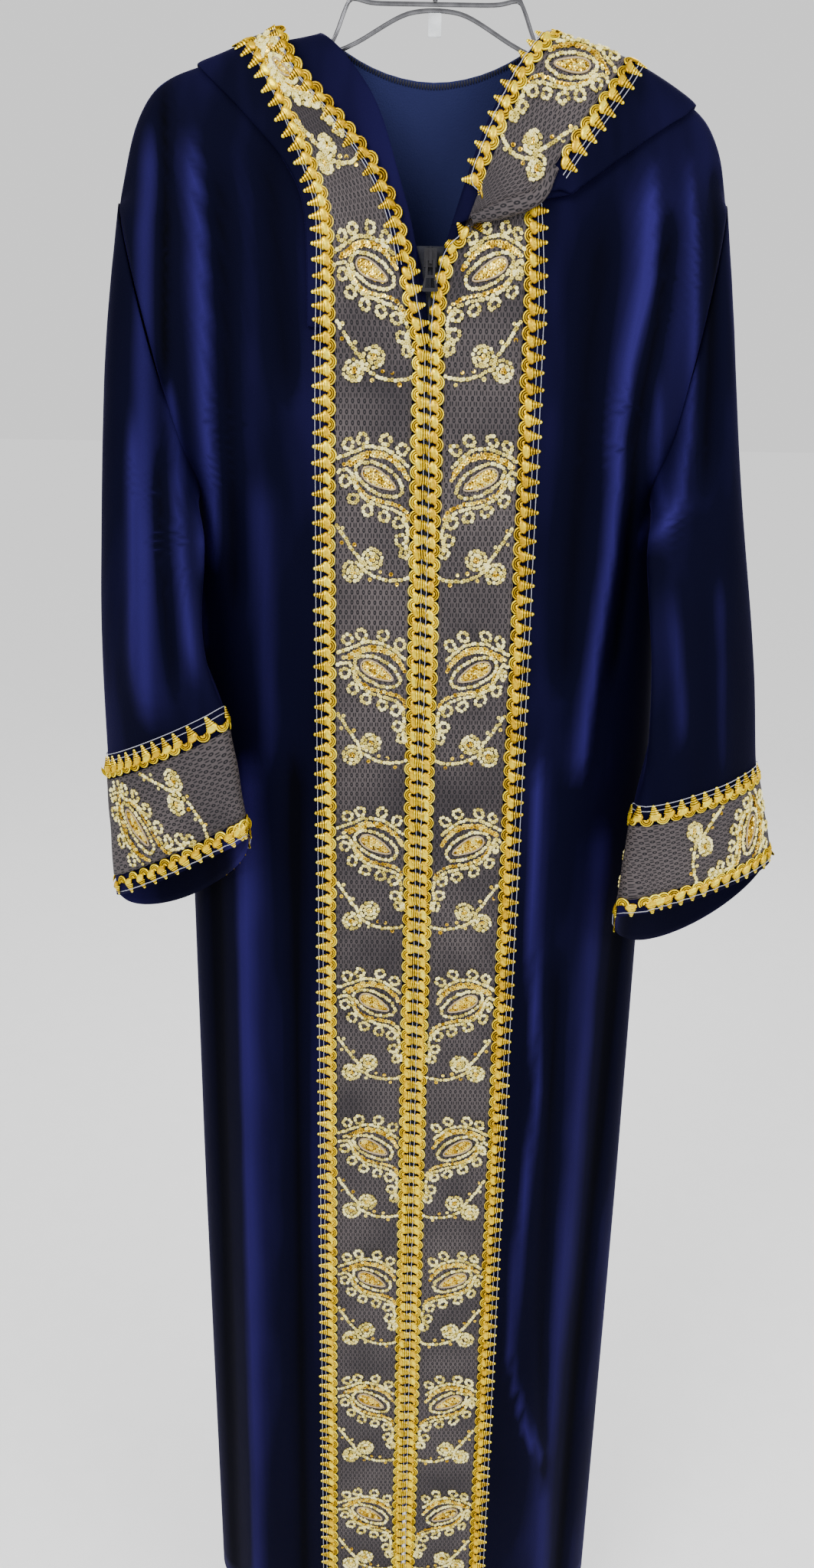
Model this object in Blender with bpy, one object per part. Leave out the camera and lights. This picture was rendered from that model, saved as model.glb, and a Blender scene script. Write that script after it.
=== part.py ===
"""Hooded velvet robe hanging on a wire hanger, in metres, +Z up.

The origin is the inside top of the hanger's hook, where a rail carries it. The front of the
robe faces -Y and the wearer's left is +X. Every cloth piece is a thin wall with its own cut.
"""
import math

import bmesh
import bpy
from mathutils import Vector

# Driving sizes
NECK_X = 0.080            # half width of the neck on the shoulder
NECK_Z = -0.0995
VEE_Z = -0.280            # bottom of the front opening
BACK_NECK_Z = -0.1275
HEM_Z = -1.5925
UNDERARM = (0.185, -0.420)
SHOULDER_ROUND = 0.100    # height over which the cloth rounds away from the shoulder
ARMHOLE_DEPTH = 0.035
CLOTH = 0.0018            # velvet wall
HOOD_CLOTH = 0.0012
LACE = 0.0010
BRAID = 0.0020
SEAM = 0.0003             # gap kept where two pieces meet
TRIM_GAP = 0.0005         # gap between a panel and the trimming on it
CENTRE_GAP = 0.0013       # from the centre line to each front edge
BAND_OUT = 0.0840         # valley line of the outer braid
BRAID_TIP = 0.0885        # points of its picots
LACE_OUT = 0.0700
LACE_IN = 0.0120
PICOT = 0.0113            # pitch of the braid
CORE_EVERY = 3            # picots to each point of the outer braid's plain edge
RECESS = 0.0038           # the fronts lie this much back under the hood's edge
RECESS_ROWS = (-0.345, -0.300)
RECESS_TOP = (-0.200, 0.050)       # z where it starts to fade out upwards, and over what height
RECESS_SIDE = (0.095, 0.070)       # x where it starts to fade out sideways, and over what width
WIRE_R = 0.0016

SIDES = {'left': 1.0, 'right': -1.0}

# Shoulder line of each side from the neck to the top of the sleeve: x, z
SHOULDER = {
    'left': ((0.0, -0.094), (0.080, -0.0995), (0.105, -0.104), (0.130, -0.111), (0.155, -0.121),
             (0.175, -0.1315), (0.190, -0.1405), (0.200, -0.147), (0.208, -0.158), (0.216, -0.176),
             (0.222, -0.205)),
    'right': ((0.0, -0.094), (0.080, -0.0995), (0.105, -0.104), (0.130, -0.110), (0.155, -0.1165),
              (0.175, -0.1215), (0.190, -0.1265), (0.202, -0.132), (0.212, -0.143), (0.223, -0.165),
              (0.235, -0.2105)),
}
# Front neck edge: z, x
VEE = ((-0.280, CENTRE_GAP), (-0.238, 0.0105), (-0.2126, 0.0195), (-0.180, 0.030), (-0.155, 0.040),
       (-0.118, 0.060), (-0.107, 0.070), (NECK_Z, NECK_X))
# Side seam below the underarm: z, x
SIDE_SEAM = ((HEM_Z, 0.203), (-1.10, 0.204), (-0.74, 0.202), (-0.56, 0.199), (-0.50, 0.195),
             (-0.42, 0.185))
# Depth of the front and the back from the middle plane: z, depth
DEPTH = ((HEM_Z, 0.058), (-0.50, 0.050), (-0.28, 0.041), (-0.20, 0.034), (-0.13, 0.026),
         (-0.10, 0.022))
# Rows of the front: z at the front edge, z at the shoulder, armhole or side seam (0 to 1 is
# the share of the way down the armhole)
UPPER_ROWS = ((NECK_Z, 0.0), (-0.102, 0.02), (-0.108, 0.06), (-0.118, 0.13), (-0.135, 0.22), (-0.155, 0.31),
              (-0.180, 0.40), (-0.2126, 0.50), (-0.245, 0.60), (-0.280, 0.70), (-0.300, 0.78),
              (-0.345, 0.89), (-0.390, 1.0))
LOWER_ROWS = (-0.44, -0.50, -0.61, -0.74, -0.90, -1.07, -1.24, -1.42, HEM_Z)
COLUMNS = 10
NECK_SHARES = (-0.6, 0.0, 0.6)    # the back's columns between the neck points
NECK_BLEND_ROW = 7        # rows are level from here down
LEVEL_FROM = 0.45         # share of a row's width that stays level
# Soft folds: face, side, x at top, x at bottom, z top, z bottom, height, half width
FOLDS = (
    ('front', 'right', 0.176, 0.174, -0.20, -0.44, 0.007, 0.014),
    ('front', 'right', 0.150, 0.152, -0.66, -1.70, 0.011, 0.022),
    ('front', 'right', 0.104, 0.108, -0.60, -1.70, -0.010, 0.012),
    ('front', 'left', 0.170, 0.140, -0.19, -0.46, 0.008, 0.016),
    ('front', 'left', 0.130, 0.124, -0.62, -1.70, 0.010, 0.020),
    ('front', 'left', 0.172, 0.166, -0.70, -1.70, -0.009, 0.014),
    ('back', 'right', 0.150, 0.150, -0.50, -1.70, 0.011, 0.022),
    ('back', 'right', 0.070, 0.062, -0.44, -1.70, -0.012, 0.022),
    ('back', 'left', 0.115, 0.120, -0.50, -1.70, 0.010, 0.026),
    ('back', 'left', 0.030, 0.024, -0.52, -1.70, 0.008, 0.022),
    ('back', 'left', 0.172, 0.168, -0.60, -1.70, -0.009, 0.014),
)

# Sleeves, from the armhole to the hem: outer x, y, z, inner x, y, z, half depth, back drop,
# and how far the front swings in over the body's side, as a share of SWING
SLEEVES = {
    'right': (
        (0.2350, 0.000, -0.2105, 0.1850, 0.000, -0.4200, 0.035, 0.0, 0.00),
        (0.2400, -0.003, -0.240, 0.1975, -0.002, -0.4330, 0.037, 0.0, 0.25),
        (0.2450, -0.006, -0.275, 0.2055, -0.006, -0.4460, 0.038, 0.0, 0.60),
        (0.2495, -0.010, -0.315, 0.2080, -0.010, -0.4580, 0.038, 0.0, 0.90),
        (0.2530, -0.014, -0.360, 0.2080, -0.018, -0.4720, 0.036, 0.0, 1.00),
        (0.2560, -0.018, -0.410, 0.2050, -0.028, -0.4880, 0.033, 0.0, 1.00),
        (0.2580, -0.021, -0.460, 0.1970, -0.040, -0.5070, 0.030, 0.0, 0.85),
        (0.2605, -0.025, -0.515, 0.1850, -0.056, -0.5300, 0.027, 0.0, 0.60),
        (0.2620, -0.028, -0.575, 0.1700, -0.072, -0.5560, 0.025, 0.0, 0.30),
        (0.2632, -0.030, -0.6386, 0.1559, -0.085, -0.5822, 0.023, 0.004, 0.00),
        (0.2636, -0.030, -0.6570, 0.1535, -0.085, -0.5985, 0.023, 0.010, 0.00),
        (0.2644, -0.030, -0.7470, 0.1412, -0.085, -0.6715, 0.022, 0.034, 0.00),
        (0.2647, -0.030, -0.7657, 0.1388, -0.085, -0.6882, 0.022, 0.040, 0.00),
    ),
    'left': (
        (0.2220, 0.000, -0.2050, 0.1850, 0.000, -0.4200, 0.035, 0.0, 0.00),
        (0.2275, -0.003, -0.238, 0.1975, -0.002, -0.4340, 0.037, 0.0, 0.25),
        (0.2325, -0.006, -0.275, 0.2060, -0.006, -0.4480, 0.038, 0.0, 0.60),
        (0.2375, -0.010, -0.318, 0.2100, -0.012, -0.4650, 0.038, 0.0, 0.90),
        (0.2430, -0.014, -0.365, 0.2105, -0.020, -0.4850, 0.037, 0.0, 1.00),
        (0.2500, -0.018, -0.415, 0.2085, -0.031, -0.5100, 0.034, 0.0, 1.00),
        (0.2580, -0.021, -0.465, 0.2030, -0.045, -0.5420, 0.031, 0.0, 0.85),
        (0.2665, -0.025, -0.515, 0.1940, -0.060, -0.5800, 0.028, 0.0, 0.60),
        (0.2755, -0.028, -0.575, 0.1830, -0.074, -0.6200, 0.026, 0.0, 0.30),
        (0.2819, -0.030, -0.6340, 0.1740, -0.085, -0.6592, 0.024, 0.004, 0.00),
        (0.2855, -0.030, -0.6480, 0.1728, -0.085, -0.6740, 0.024, 0.012, 0.00),
        (0.3015, -0.030, -0.7070, 0.1668, -0.085, -0.7390, 0.024, 0.044, 0.00),
        (0.3058, -0.030, -0.7222, 0.1655, -0.085, -0.7543, 0.024, 0.052, 0.00),
    ),
}
SLEEVE_POINTS = 24
LEAVING = (0.97, -0.23)   # x and z direction in which a sleeve leaves its armhole
SWING = (-0.038, -0.028)   # x inwards, y forwards
CUFF_GAP = 0.0008
CUFF_ROWS = (9, 10, 11, 12)      # rows of the upper braid's points, lace and lower braid

# Top of each front band: braid and lace edges end under or against the hood
BAND_TOP = {
    'right': {'inner': -0.3002, 'lace': -0.3002, 'outer': -0.3002},
    'left': {'inner': -0.2230, 'lace': -0.2110, 'outer': -0.2095},
}

# Hood, from the front to the centre of the back. Each edge is x, z: neck seam, mouth edge,
# points of the outer braid, fold. Then the height of the under layer, the mouth and the fold
# over the body.
HOOD = {
    'right': (
        ('front', (0.0045, -0.2995), (0.0030, -0.2995), (0.0870, -0.2995), (0.0905, -0.2995), 1.8, 3.8, 3.8),
        ('front', (0.0115, -0.2380), (0.0205, -0.2290), (0.0870, -0.2240), (0.0915, -0.2330), 1.8, 3.8, 3.8),
        ('front', (0.0255, -0.1900), (0.0413, -0.1877), (0.0975, -0.1890), (0.1000, -0.1970), 1.8, 3.8, 3.8),
        ('front', (0.0410, -0.1465), (0.0758, -0.1510), (0.1155, -0.1476), (0.1343, -0.1586), 1.8, 6.0, 3.8),
        ('front', (0.0670, -0.1120), (0.0995, -0.1262), (0.1260, -0.1255), (0.1640, -0.1310), 2.0, 9.0, 4.0),
        ('ridge', (0.0830, 0.0), (0.1130, 0.0), (0.1420, 0.0), (0.1740, 0.0), 2.2, 12.0, 4.2),
        ('back', (0.0680, -0.1150), (0.1080, -0.1350), (0.1500, -0.1450), (0.1700, -0.1520), 2.4, 13.0, 4.6),
        ('back', (0.0440, -0.1240), (0.0900, -0.1700), (0.1400, -0.2150), (0.1480, -0.2350), 3.2, 19.0, 5.4),
        ('back', (0.0220, -0.1290), (0.0550, -0.2050), (0.0850, -0.2830), (0.0950, -0.3300), 5.0, 25.0, 7.4),
        ('back', (0.0002, -0.1305), (0.0002, -0.2200), (0.0002, -0.3060), (0.0002, -0.4700), 6.0, 28.0, 8.6),
    ),
    'left': (
        ('front', (0.0190, -0.2240), (0.0150, -0.2290), (0.0925, -0.2030), (0.1010, -0.2065), 4.4, 6.6, 6.6),
        ('front', (0.0330, -0.1800), (0.0300, -0.1880), (0.1110, -0.1770), (0.1250, -0.1900), 4.4, 6.6, 6.6),
        ('front', (0.0470, -0.1440), (0.0436, -0.1543), (0.1310, -0.1530), (0.1560, -0.1690), 2.6, 4.8, 4.8),
        ('front', (0.0640, -0.1180), (0.0610, -0.1210), (0.1460, -0.1360), (0.1800, -0.1540), 2.4, 4.6, 4.6),
        ('front', (0.0750, -0.1060), (0.0715, -0.1080), (0.1520, -0.1260), (0.1890, -0.1470), 2.6, 4.8, 4.8),
        ('ridge', (0.0830, 0.0), (0.0800, 0.0), (0.1560, 0.0), (0.1950, 0.0), 2.6, 5.2, 4.8),
        ('back', (0.0680, -0.1150), (0.0740, -0.1180), (0.1560, -0.1500), (0.1880, -0.1650), 2.6, 8.0, 4.8),
        ('back', (0.0440, -0.1240), (0.0640, -0.1500), (0.1400, -0.2150), (0.1580, -0.2400), 3.2, 17.0, 5.4),
        ('back', (0.0220, -0.1290), (0.0450, -0.1950), (0.0850, -0.2830), (0.0980, -0.3350), 5.0, 25.0, 7.4),
        ('back', (0.0002, -0.1305), (0.0002, -0.2200), (0.0002, -0.3060), (0.0002, -0.4700), 6.0, 28.0, 8.6),
    ),
}
HOOD_STEPS = 3            # rows between two lines of the table
HOOD_BRAID_LIFT = 0.0005
HOOD_LACE_IN = 0.15       # shares of the band's width
HOOD_LACE_OUT = 0.80
HOOD_VALLEY = 0.92
UNDER_COLUMNS = (0.0, 0.12, 0.3, 0.6, 0.96)       # shares from the neck seam to the fold
UPPER_COLUMNS = (1.9, 1.5, 1.0, HOOD_LACE_OUT, 0.5, HOOD_LACE_IN, 0.0)
EDGE_X = 0.0002           # each half of the hood keeps this far from the middle

# Zip
ZIP_TOP_Z = -0.2415
ZIP_BOTTOM_Z = -1.30
TAPE_HALF = 0.016
TAPE = 0.0008
COIL_HALF = 0.0009
COIL = 0.0012
SLIDER_Z = -0.2500
SLIDER_WIDTH = 0.0094
SLIDER_HEIGHT = 0.0130
BAR = 0.0006              # half height of the pull's bar
BAIL_WIDTH = 0.0020
BAIL_ROOM = 0.0028        # from the slider's face to the middle of the pull's bar
PULL_LENGTH = 0.0225
PULL_TOP_HALF = 0.0036
PULL_BOTTOM_HALF = 0.0062
PULL = 0.0012

# Hanger
HOOK_INNER_R = 0.0215
HOOK_WIRE_R = 0.00175
TIP_X = 0.180
TIP_R = 0.0045            # bend at each tip
SHOULDER_WIRE = (0.084, 0.110, 0.135, 0.160)      # x of the wire's points under the shoulder
# Upper wire from the stem over the hump to the neck, and the arch below it: x, z
UPPER_WIRE = ((0.0, -0.0790), (0.030, -0.0790), (0.048, -0.0790), (0.0555, -0.0760),
              (0.0615, -0.0765), (0.0660, -0.0850), (0.0700, -0.0960), (0.0742, -0.1038))
LOWER_WIRE = ((0.0, -0.0826), (0.014, -0.0835), (0.0255, -0.0865), (0.045, -0.0975),
              (0.066, -0.1095))
# Stem from its foot up to the hook's round: x, z
STEM = ((0.0, -0.060), (0.0015, -0.0545), (0.0060, -0.0490), (0.0115, -0.0440))
WIRE_BELOW_RIDGE = 0.0050
CLIP = (0.0095, 0.003, 0.015)


def lerp(a, b, t):
    return a + (b - a) * t


def look_up(rows, key):
    """Value of a two-column table at a key, straight between its rows."""
    rows = sorted(rows)
    if key <= rows[0][0]:
        return rows[0][1]
    for (k0, v0), (k1, v1) in zip(rows, rows[1:]):
        if key <= k1:
            return lerp(v0, v1, (key - k0) / (k1 - k0))
    return rows[-1][1]


def smooth(t):
    t = min(max(t, 0.0), 1.0)
    return t * t * (3.0 - 2.0 * t)


def catmull(values, t):
    """Smooth curve through evenly spaced values, t from 0 to the last index."""
    last = len(values) - 1
    i = min(int(t), last - 1)
    f = t - i
    p0 = values[max(i - 1, 0)]
    p1, p2 = values[i], values[i + 1]
    p3 = values[min(i + 2, last)]
    return p1 + 0.5 * f * (p2 - p0 + f * (2 * p0 - 5 * p1 + 4 * p2 - p3
                                          + f * (3 * (p1 - p2) + p3 - p0)))


def ridge_z(side, x):
    return look_up(SHOULDER[side], x)


def armhole_top(side):
    return SHOULDER[side][-1]


def outer_x(side, z):
    """Half width at a height: shoulder line, armhole, then side seam."""
    top = armhole_top(side)
    if z > top[1]:
        return look_up([(row[1], row[0]) for row in SHOULDER[side][1:]], z)
    if z > UNDERARM[1]:
        return lerp(UNDERARM[0], top[0], (z - UNDERARM[1]) / (top[1] - UNDERARM[1]))
    return look_up(SIDE_SEAM, z)


def armhole_y(side, z):
    """Distance of the armhole's edge from the middle plane."""
    top = armhole_top(side)[1]
    middle, half = (top + UNDERARM[1]) / 2, (top - UNDERARM[1]) / 2
    share = (z - middle) / half
    return ARMHOLE_DEPTH * math.sqrt(max(0.0, 1.0 - share * share))


def fold_height(face, side, x, z):
    height = 0.0
    if face == 'front' and x < BRAID_TIP:
        return height
    beside_band = smooth((x - BRAID_TIP) / 0.015) if face == 'front' else 1.0
    for of_face, of_side, x0, x1, z0, z1, tall, half in FOLDS:
        if of_face != face or of_side != side or not z1 < z < z0:
            continue
        t = (z0 - z) / (z0 - z1)
        fade = smooth(t / 0.25) * smooth((1.0 - t) / 0.15)
        height += tall * fade * beside_band * math.exp(-((x - lerp(x0, x1, t)) / half) ** 2)
    return height


def body_depth(face, side, x, z):
    """Distance of the body's outer face from the middle plane at |x| and z."""
    top_x, top_z = armhole_top(side)
    across = min(x / (top_x if z > top_z else outer_x(side, z)), 1.0)
    drop = min(max(ridge_z(side, x) - z, 0.0) / SHOULDER_ROUND, 1.0)
    rounding = math.sqrt(1.0 - (1.0 - drop) ** 2)
    depth = look_up(DEPTH, z) * rounding * math.sqrt(max(0.0, 1.0 - across ** 4))
    depth += fold_height(face, side, x, z) * (1.0 - across ** 8)
    if UNDERARM[1] < z < top_z:
        depth += armhole_y(side, z) * across ** 6
    if face == 'front':
        depth -= recess(x, z)
    return max(depth, SEAM / 2)


def recess(x, z):
    low, high = RECESS_ROWS
    down = min(max((z - low) / (high - low), 0.0), 1.0)
    upwards = 1.0 - smooth((z - RECESS_TOP[0]) / RECESS_TOP[1])
    sideways = 1.0 - smooth((x - RECESS_SIDE[0]) / RECESS_SIDE[1])
    return RECESS * down * upwards * sideways


def material(name, colour, roughness, metallic=0.0):
    mat = bpy.data.materials.get(name)
    if mat is None:
        mat = bpy.data.materials.new(name)
        mat.use_nodes = True
        shader = mat.node_tree.nodes['Principled BSDF']
        shader.inputs['Base Color'].default_value = (*colour, 1.0)
        shader.inputs['Roughness'].default_value = roughness
        shader.inputs['Metallic'].default_value = metallic
    return mat


def velvet():
    return material('velvet', (0.006, 0.010, 0.045), 0.8)


def lace():
    return material('lace', (0.13, 0.11, 0.09), 0.9)


def gold_braid():
    return material('gold_braid', (0.62, 0.42, 0.10), 0.4, 0.3)


def zip_black():
    return material('zip_plastic', (0.02, 0.02, 0.025), 0.5)


def steel():
    return material('steel', (0.6, 0.6, 0.6), 0.25, 1.0)


def clear_plastic():
    return material('clear_plastic', (0.7, 0.75, 0.78), 0.1)


def make_object(name, points, faces, mat, smooth_shading=True):
    """One closed body from points and faces, its faces turned outwards."""
    mesh = bpy.data.meshes.new(name)
    bm = bmesh.new()
    verts = [bm.verts.new(p) for p in points]
    for face in faces:
        bm.faces.new([verts[i] for i in face])
    bmesh.ops.triangulate(bm, faces=bm.faces)
    bmesh.ops.recalc_face_normals(bm, faces=bm.faces)
    if bm.calc_volume(signed=True) < 0:
        bmesh.ops.reverse_faces(bm, faces=bm.faces)
    bm.to_mesh(mesh)
    bm.free()
    mesh.materials.append(mat)
    if smooth_shading:
        mesh.shade_smooth()
        mesh.set_sharp_from_angle(angle=math.radians(50))
    obj = bpy.data.objects.new(name, mesh)
    bpy.context.scene.collection.objects.link(obj)
    return obj


def wall(name, outer, inner, mat, ring=False):
    """A cloth wall between two grids of points, rows by columns. A ring closes its rows."""
    rows, cols = len(outer), len(outer[0])
    points = [p for row in outer for p in row] + [p for row in inner for p in row]
    back = rows * cols
    faces = []
    spans = cols if ring else cols - 1
    for i in range(rows - 1):
        for j in range(spans):
            a, b = i * cols + j, i * cols + (j + 1) % cols
            c, d = b + cols, a + cols
            faces.append((a, b, c, d))
            faces.append((back + d, back + c, back + b, back + a))
    for j in range(spans):
        k = (j + 1) % cols
        last = (rows - 1) * cols
        faces.append((k, j, back + j, back + k))
        faces.append((last + j, last + k, back + last + k, back + last + j))
    if not ring:
        for i in range(rows - 1):
            a, d = i * cols, (i + 1) * cols
            faces.append((a, d, back + d, back + a))
            a, d = a + cols - 1, d + cols - 1
            faces.append((d, a, back + a, back + d))
    return make_object(name, points, faces, mat)


def grid_normals(grid, outward, ring=False):
    """Unit normals of a grid of points, on the side that outward(point) points to."""
    rows, cols = len(grid), len(grid[0])
    normals = []
    for i in range(rows):
        line = []
        for j in range(cols):
            up = grid[max(i - 1, 0)][j] - grid[min(i + 1, rows - 1)][j]
            if ring:
                across = grid[i][(j + 1) % cols] - grid[i][j - 1]
            else:
                across = grid[i][min(j + 1, cols - 1)] - grid[i][max(j - 1, 0)]
            normal = across.cross(up).normalized()
            if normal.dot(outward(i, j)) < 0:
                normal = -normal
            line.append(normal)
        normals.append(line)
    return normals


def moved(grid, normals, distance):
    return [[p + n * distance for p, n in zip(line, turned)] for line, turned in zip(grid, normals)]


# Body panels

def row_z(row):
    """z of a row at the front edge."""
    if row < len(UPPER_ROWS):
        return UPPER_ROWS[row][0]
    return LOWER_ROWS[row - len(UPPER_ROWS)]


ROWS = len(UPPER_ROWS) + len(LOWER_ROWS)
UNDERARM_ROW = len(UPPER_ROWS) - 1


def panel_point(side, u, row, x_in):
    """x and z of a panel's point, u from its inner edge (0) to the shoulder or side (1)."""
    z_in = row_z(row)
    z_out = z_in
    if row < len(UPPER_ROWS):
        z_out = lerp(armhole_top(side)[1], UNDERARM[1], UPPER_ROWS[row][1])
    line = SHOULDER[side][1:]
    along = u * (len(line) - 1)
    i = min(int(along), len(line) - 2)
    bow_x = lerp(line[i][0], line[i + 1][0], along - i) - lerp(line[0][0], line[-1][0], u)
    bow_z = lerp(line[i][1], line[i + 1][1], along - i) - lerp(line[0][1], line[-1][1], u)
    follow = max(0.0, 1.0 - row / NECK_BLEND_ROW)
    x = lerp(x_in, outer_x(side, z_out), u) + bow_x * follow
    level = lerp(z_in, z_out, smooth((u - LEVEL_FROM) / (1.0 - LEVEL_FROM)))
    shoulder = lerp(z_in, z_out, u) + bow_z
    return x, lerp(level, shoulder, follow)


def column_share(j):
    return math.sin(math.pi / 2 * j / COLUMNS)


def on_seam(row, j):
    """True on the shoulder seam and on the side seam."""
    return row == 0 or (j == COLUMNS and row >= UNDERARM_ROW)


def inner_points(grid, out, seams):
    """The wall's inner points. On the listed seams it stays in its own half."""
    normals = grid_normals(grid, lambda i, j: Vector((0, out, 0)))
    for i, j in seams:
        p = grid[i][j]
        if i == 0:
            along = grid[0][min(j + 1, len(grid[0]) - 1)] - grid[0][max(j - 1, 0)]
            normal = Vector((-along.z, 0, along.x)).normalized()
            normals[i][j] = normal if normal.z > 0 else -normal
        else:
            normals[i][j] = Vector((math.copysign(1.0, p.x), 0, 0))
    inner = moved(grid, normals, -CLOTH)
    for line in inner:
        for p in line:
            p.y = out * max(out * p.y, SEAM / 2)
    return inner


def front_edge_x(z):
    return look_up(VEE, z) if z > VEE_Z else CENTRE_GAP


def make_front(side):
    sign = SIDES[side]
    grid = []
    for row in range(ROWS):
        line = []
        for j in range(COLUMNS + 1):
            x, z = panel_point(side, column_share(j), row, front_edge_x(row_z(row)))
            depth = SEAM / 2 if on_seam(row, j) else body_depth('front', side, x, z)
            line.append(Vector((sign * x, -depth, z)))
        grid.append(line)
    seams = [(i, j) for i in range(ROWS) for j in range(COLUMNS + 1) if on_seam(i, j)]
    inner = inner_points(grid, -1.0, seams)
    for line in inner:
        line[0].x = sign * max(abs(line[0].x), CENTRE_GAP)
    return wall('front_' + side, grid, inner, velvet())


def neck_point(share, row):
    """x and z of a column between the neck points: the neck's curve fades into level rows."""
    z_side = row_z(row)
    z_low = z_side
    if row < NECK_BLEND_ROW:
        t = (z_side - NECK_Z) / (row_z(NECK_BLEND_ROW) - NECK_Z)
        z_low = lerp(BACK_NECK_Z, row_z(NECK_BLEND_ROW), t)
    return share * NECK_X, lerp(z_low, z_side, share ** 2)


def make_back():
    """The back in one piece, its columns from the right side seam to the left."""
    grid = []
    middle = len(NECK_SHARES)
    for row in range(ROWS):
        halves = {}
        for side, sign in SIDES.items():
            halves[side] = []
            for j in range(COLUMNS + 1):
                x, z = panel_point(side, column_share(j), row, NECK_X)
                depth = SEAM / 2 if on_seam(row, j) else body_depth('back', side, x, z)
                halves[side].append(Vector((sign * x, depth, z)))
        neck = []
        for share in NECK_SHARES:
            x, z = neck_point(share, row)
            side = 'left' if x >= 0 else 'right'
            neck.append(Vector((x, body_depth('back', side, abs(x), z), z)))
        grid.append(list(reversed(halves['right'])) + neck + halves['left'])
    last = len(grid[0]) - 1
    seams = []
    for i in range(ROWS):
        for j in range(COLUMNS + 1):
            if on_seam(i, j):
                seams += [(i, COLUMNS - j), (i, last - COLUMNS + j)]
    inner = inner_points(grid, 1.0, seams)
    return wall('back', grid, inner, velvet())


# Sleeves and cuffs

def sleeve_grid(side):
    """Rings of a sleeve from the armhole to the hem. Point 0 is outside, then the front."""
    sign = SIDES[side]
    grid = []
    for k, (ox, oy, oz, ix, iy, iz, half, drop, swing) in enumerate(SLEEVES[side]):
        outer, inner = Vector((sign * ox, oy, oz)), Vector((sign * ix, iy, iz))
        middle, across = (outer + inner) / 2, (outer - inner) / 2
        front = Vector((0, -1, 0))
        front = (front - across * (front.dot(across) / across.length_squared)).normalized()
        ring = []
        for n in range(SLEEVE_POINTS):
            angle = 2 * math.pi * n / SLEEVE_POINTS
            p = middle + across * math.cos(angle) + front * (half * math.sin(angle))
            p.z -= drop * max(0.0, -math.sin(angle))
            quarter = angle / (math.pi / 2) - 1.0
            if 0.0 < quarter < 1.0:
                push = swing * math.sin(math.pi * quarter ** 1.7)
                p += Vector((sign * SWING[0], SWING[1], 0)) * push
            if k == 0:
                p += Vector((sign * LEAVING[0], 0, LEAVING[1])) * (3 * SEAM)
            ring.append(p)
        grid.append(ring)
    return grid


def ring_outward(grid):
    centres = [sum(ring, Vector()) / len(ring) for ring in grid]
    return lambda i, j: grid[i][j] - centres[i]


def make_sleeve(side):
    grid = sleeve_grid(side)
    normals = grid_normals(grid, ring_outward(grid), ring=True)
    leaving = Vector((SIDES[side] * LEAVING[0], 0, LEAVING[1])).normalized()
    normals[0] = [(n - leaving * n.dot(leaving)).normalized() for n in normals[0]]
    return wall('sleeve_' + side, grid, moved(grid, normals, -CLOTH), velvet(), ring=True)


def between(row_a, row_b, share):
    return [a.lerp(b, share) for a, b in zip(row_a, row_b)]


def cuff_surface(side):
    """Rows and normals of the sleeve under the cuff's trimming."""
    grid = sleeve_grid(side)
    normals = grid_normals(grid, ring_outward(grid), ring=True)
    return [grid[k] for k in CUFF_ROWS], [normals[k] for k in CUFF_ROWS]


def make_cuff_lace(side):
    rows, normals = cuff_surface(side)
    start, end = between(rows[1], rows[2], 0.02), between(rows[1], rows[2], 0.98)
    grid = [start, between(start, end, 0.5), end]
    turned = [normals[1], between(normals[1], normals[2], 0.5), normals[2]]
    return wall('cuff_lace_' + side, moved(grid, turned, CUFF_GAP + LACE),
                moved(grid, turned, CUFF_GAP), lace(), ring=True)


def picot_ring(name, core, valley, tips, normals):
    """A closed braid round a cuff: a plain core with one picot on each step."""
    count = len(core)
    points, faces = [], []
    for lift in (CUFF_GAP + BRAID, CUFF_GAP):
        for line, turned in zip((core, valley, tips), normals):
            points += [p + n * lift for p, n in zip(line, turned)]
    back = 3 * count
    for j in range(count):
        k = (j + 1) % count
        tip = 2 * count + j
        faces.append((j, k, count + k, count + j))
        faces.append((count + j, count + k, tip))
        faces.append((back + j, back + count + j, back + count + k, back + k))
        faces.append((back + count + j, back + tip, back + count + k))
        faces.append((j, back + j, back + k, k))
        faces.append((count + j, tip, back + tip, back + count + j))
        faces.append((tip, count + k, back + count + k, back + tip))
    return make_object(name, points, faces, gold_braid())


def make_cuff_braid(side, upper):
    rows, normals = cuff_surface(side)
    if upper:
        edge, edge_n, core, core_n = rows[0], normals[0], rows[1], normals[1]
    else:
        edge, edge_n, core, core_n = rows[3], normals[3], rows[2], normals[2]
    valley, valley_n = between(edge, core, 0.36), between(edge_n, core_n, 0.36)
    tips = [edge[j].lerp(edge[(j + 1) % len(edge)], 0.5) for j in range(len(edge))]
    tips_n = [edge_n[j].lerp(edge_n[(j + 1) % len(edge)], 0.5) for j in range(len(edge))]
    name = 'cuff_braid_upper_' if upper else 'cuff_braid_lower_'
    return picot_ring(name + side, core, valley, tips, (core_n, valley_n, tips_n))


# Bands down the fronts

KNOTS = sorted({row_z(row) for row in range(ROWS)})


def band_depth(side, x, z):
    """Front face of the panel, straight between the panel's rows as its wall is."""
    for low, high in zip(KNOTS, KNOTS[1:]):
        if z <= high:
            t = (z - low) / (high - low)
            near, far = body_depth('front', side, x, low), body_depth('front', side, x, high)
            return lerp(near, far, t)
    return body_depth('front', side, x, z)


def band_lift(side, x, z):
    """The right band bridges the recess, level with the hood's edge above it."""
    return recess(x, max(z, RECESS_ROWS[0])) if side == 'right' else 0.0


def band_point(side, x, z, lift):
    depth = band_depth(side, x, z) + band_lift(side, x, z) + lift
    return Vector((SIDES[side] * x, -depth, z))


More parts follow.
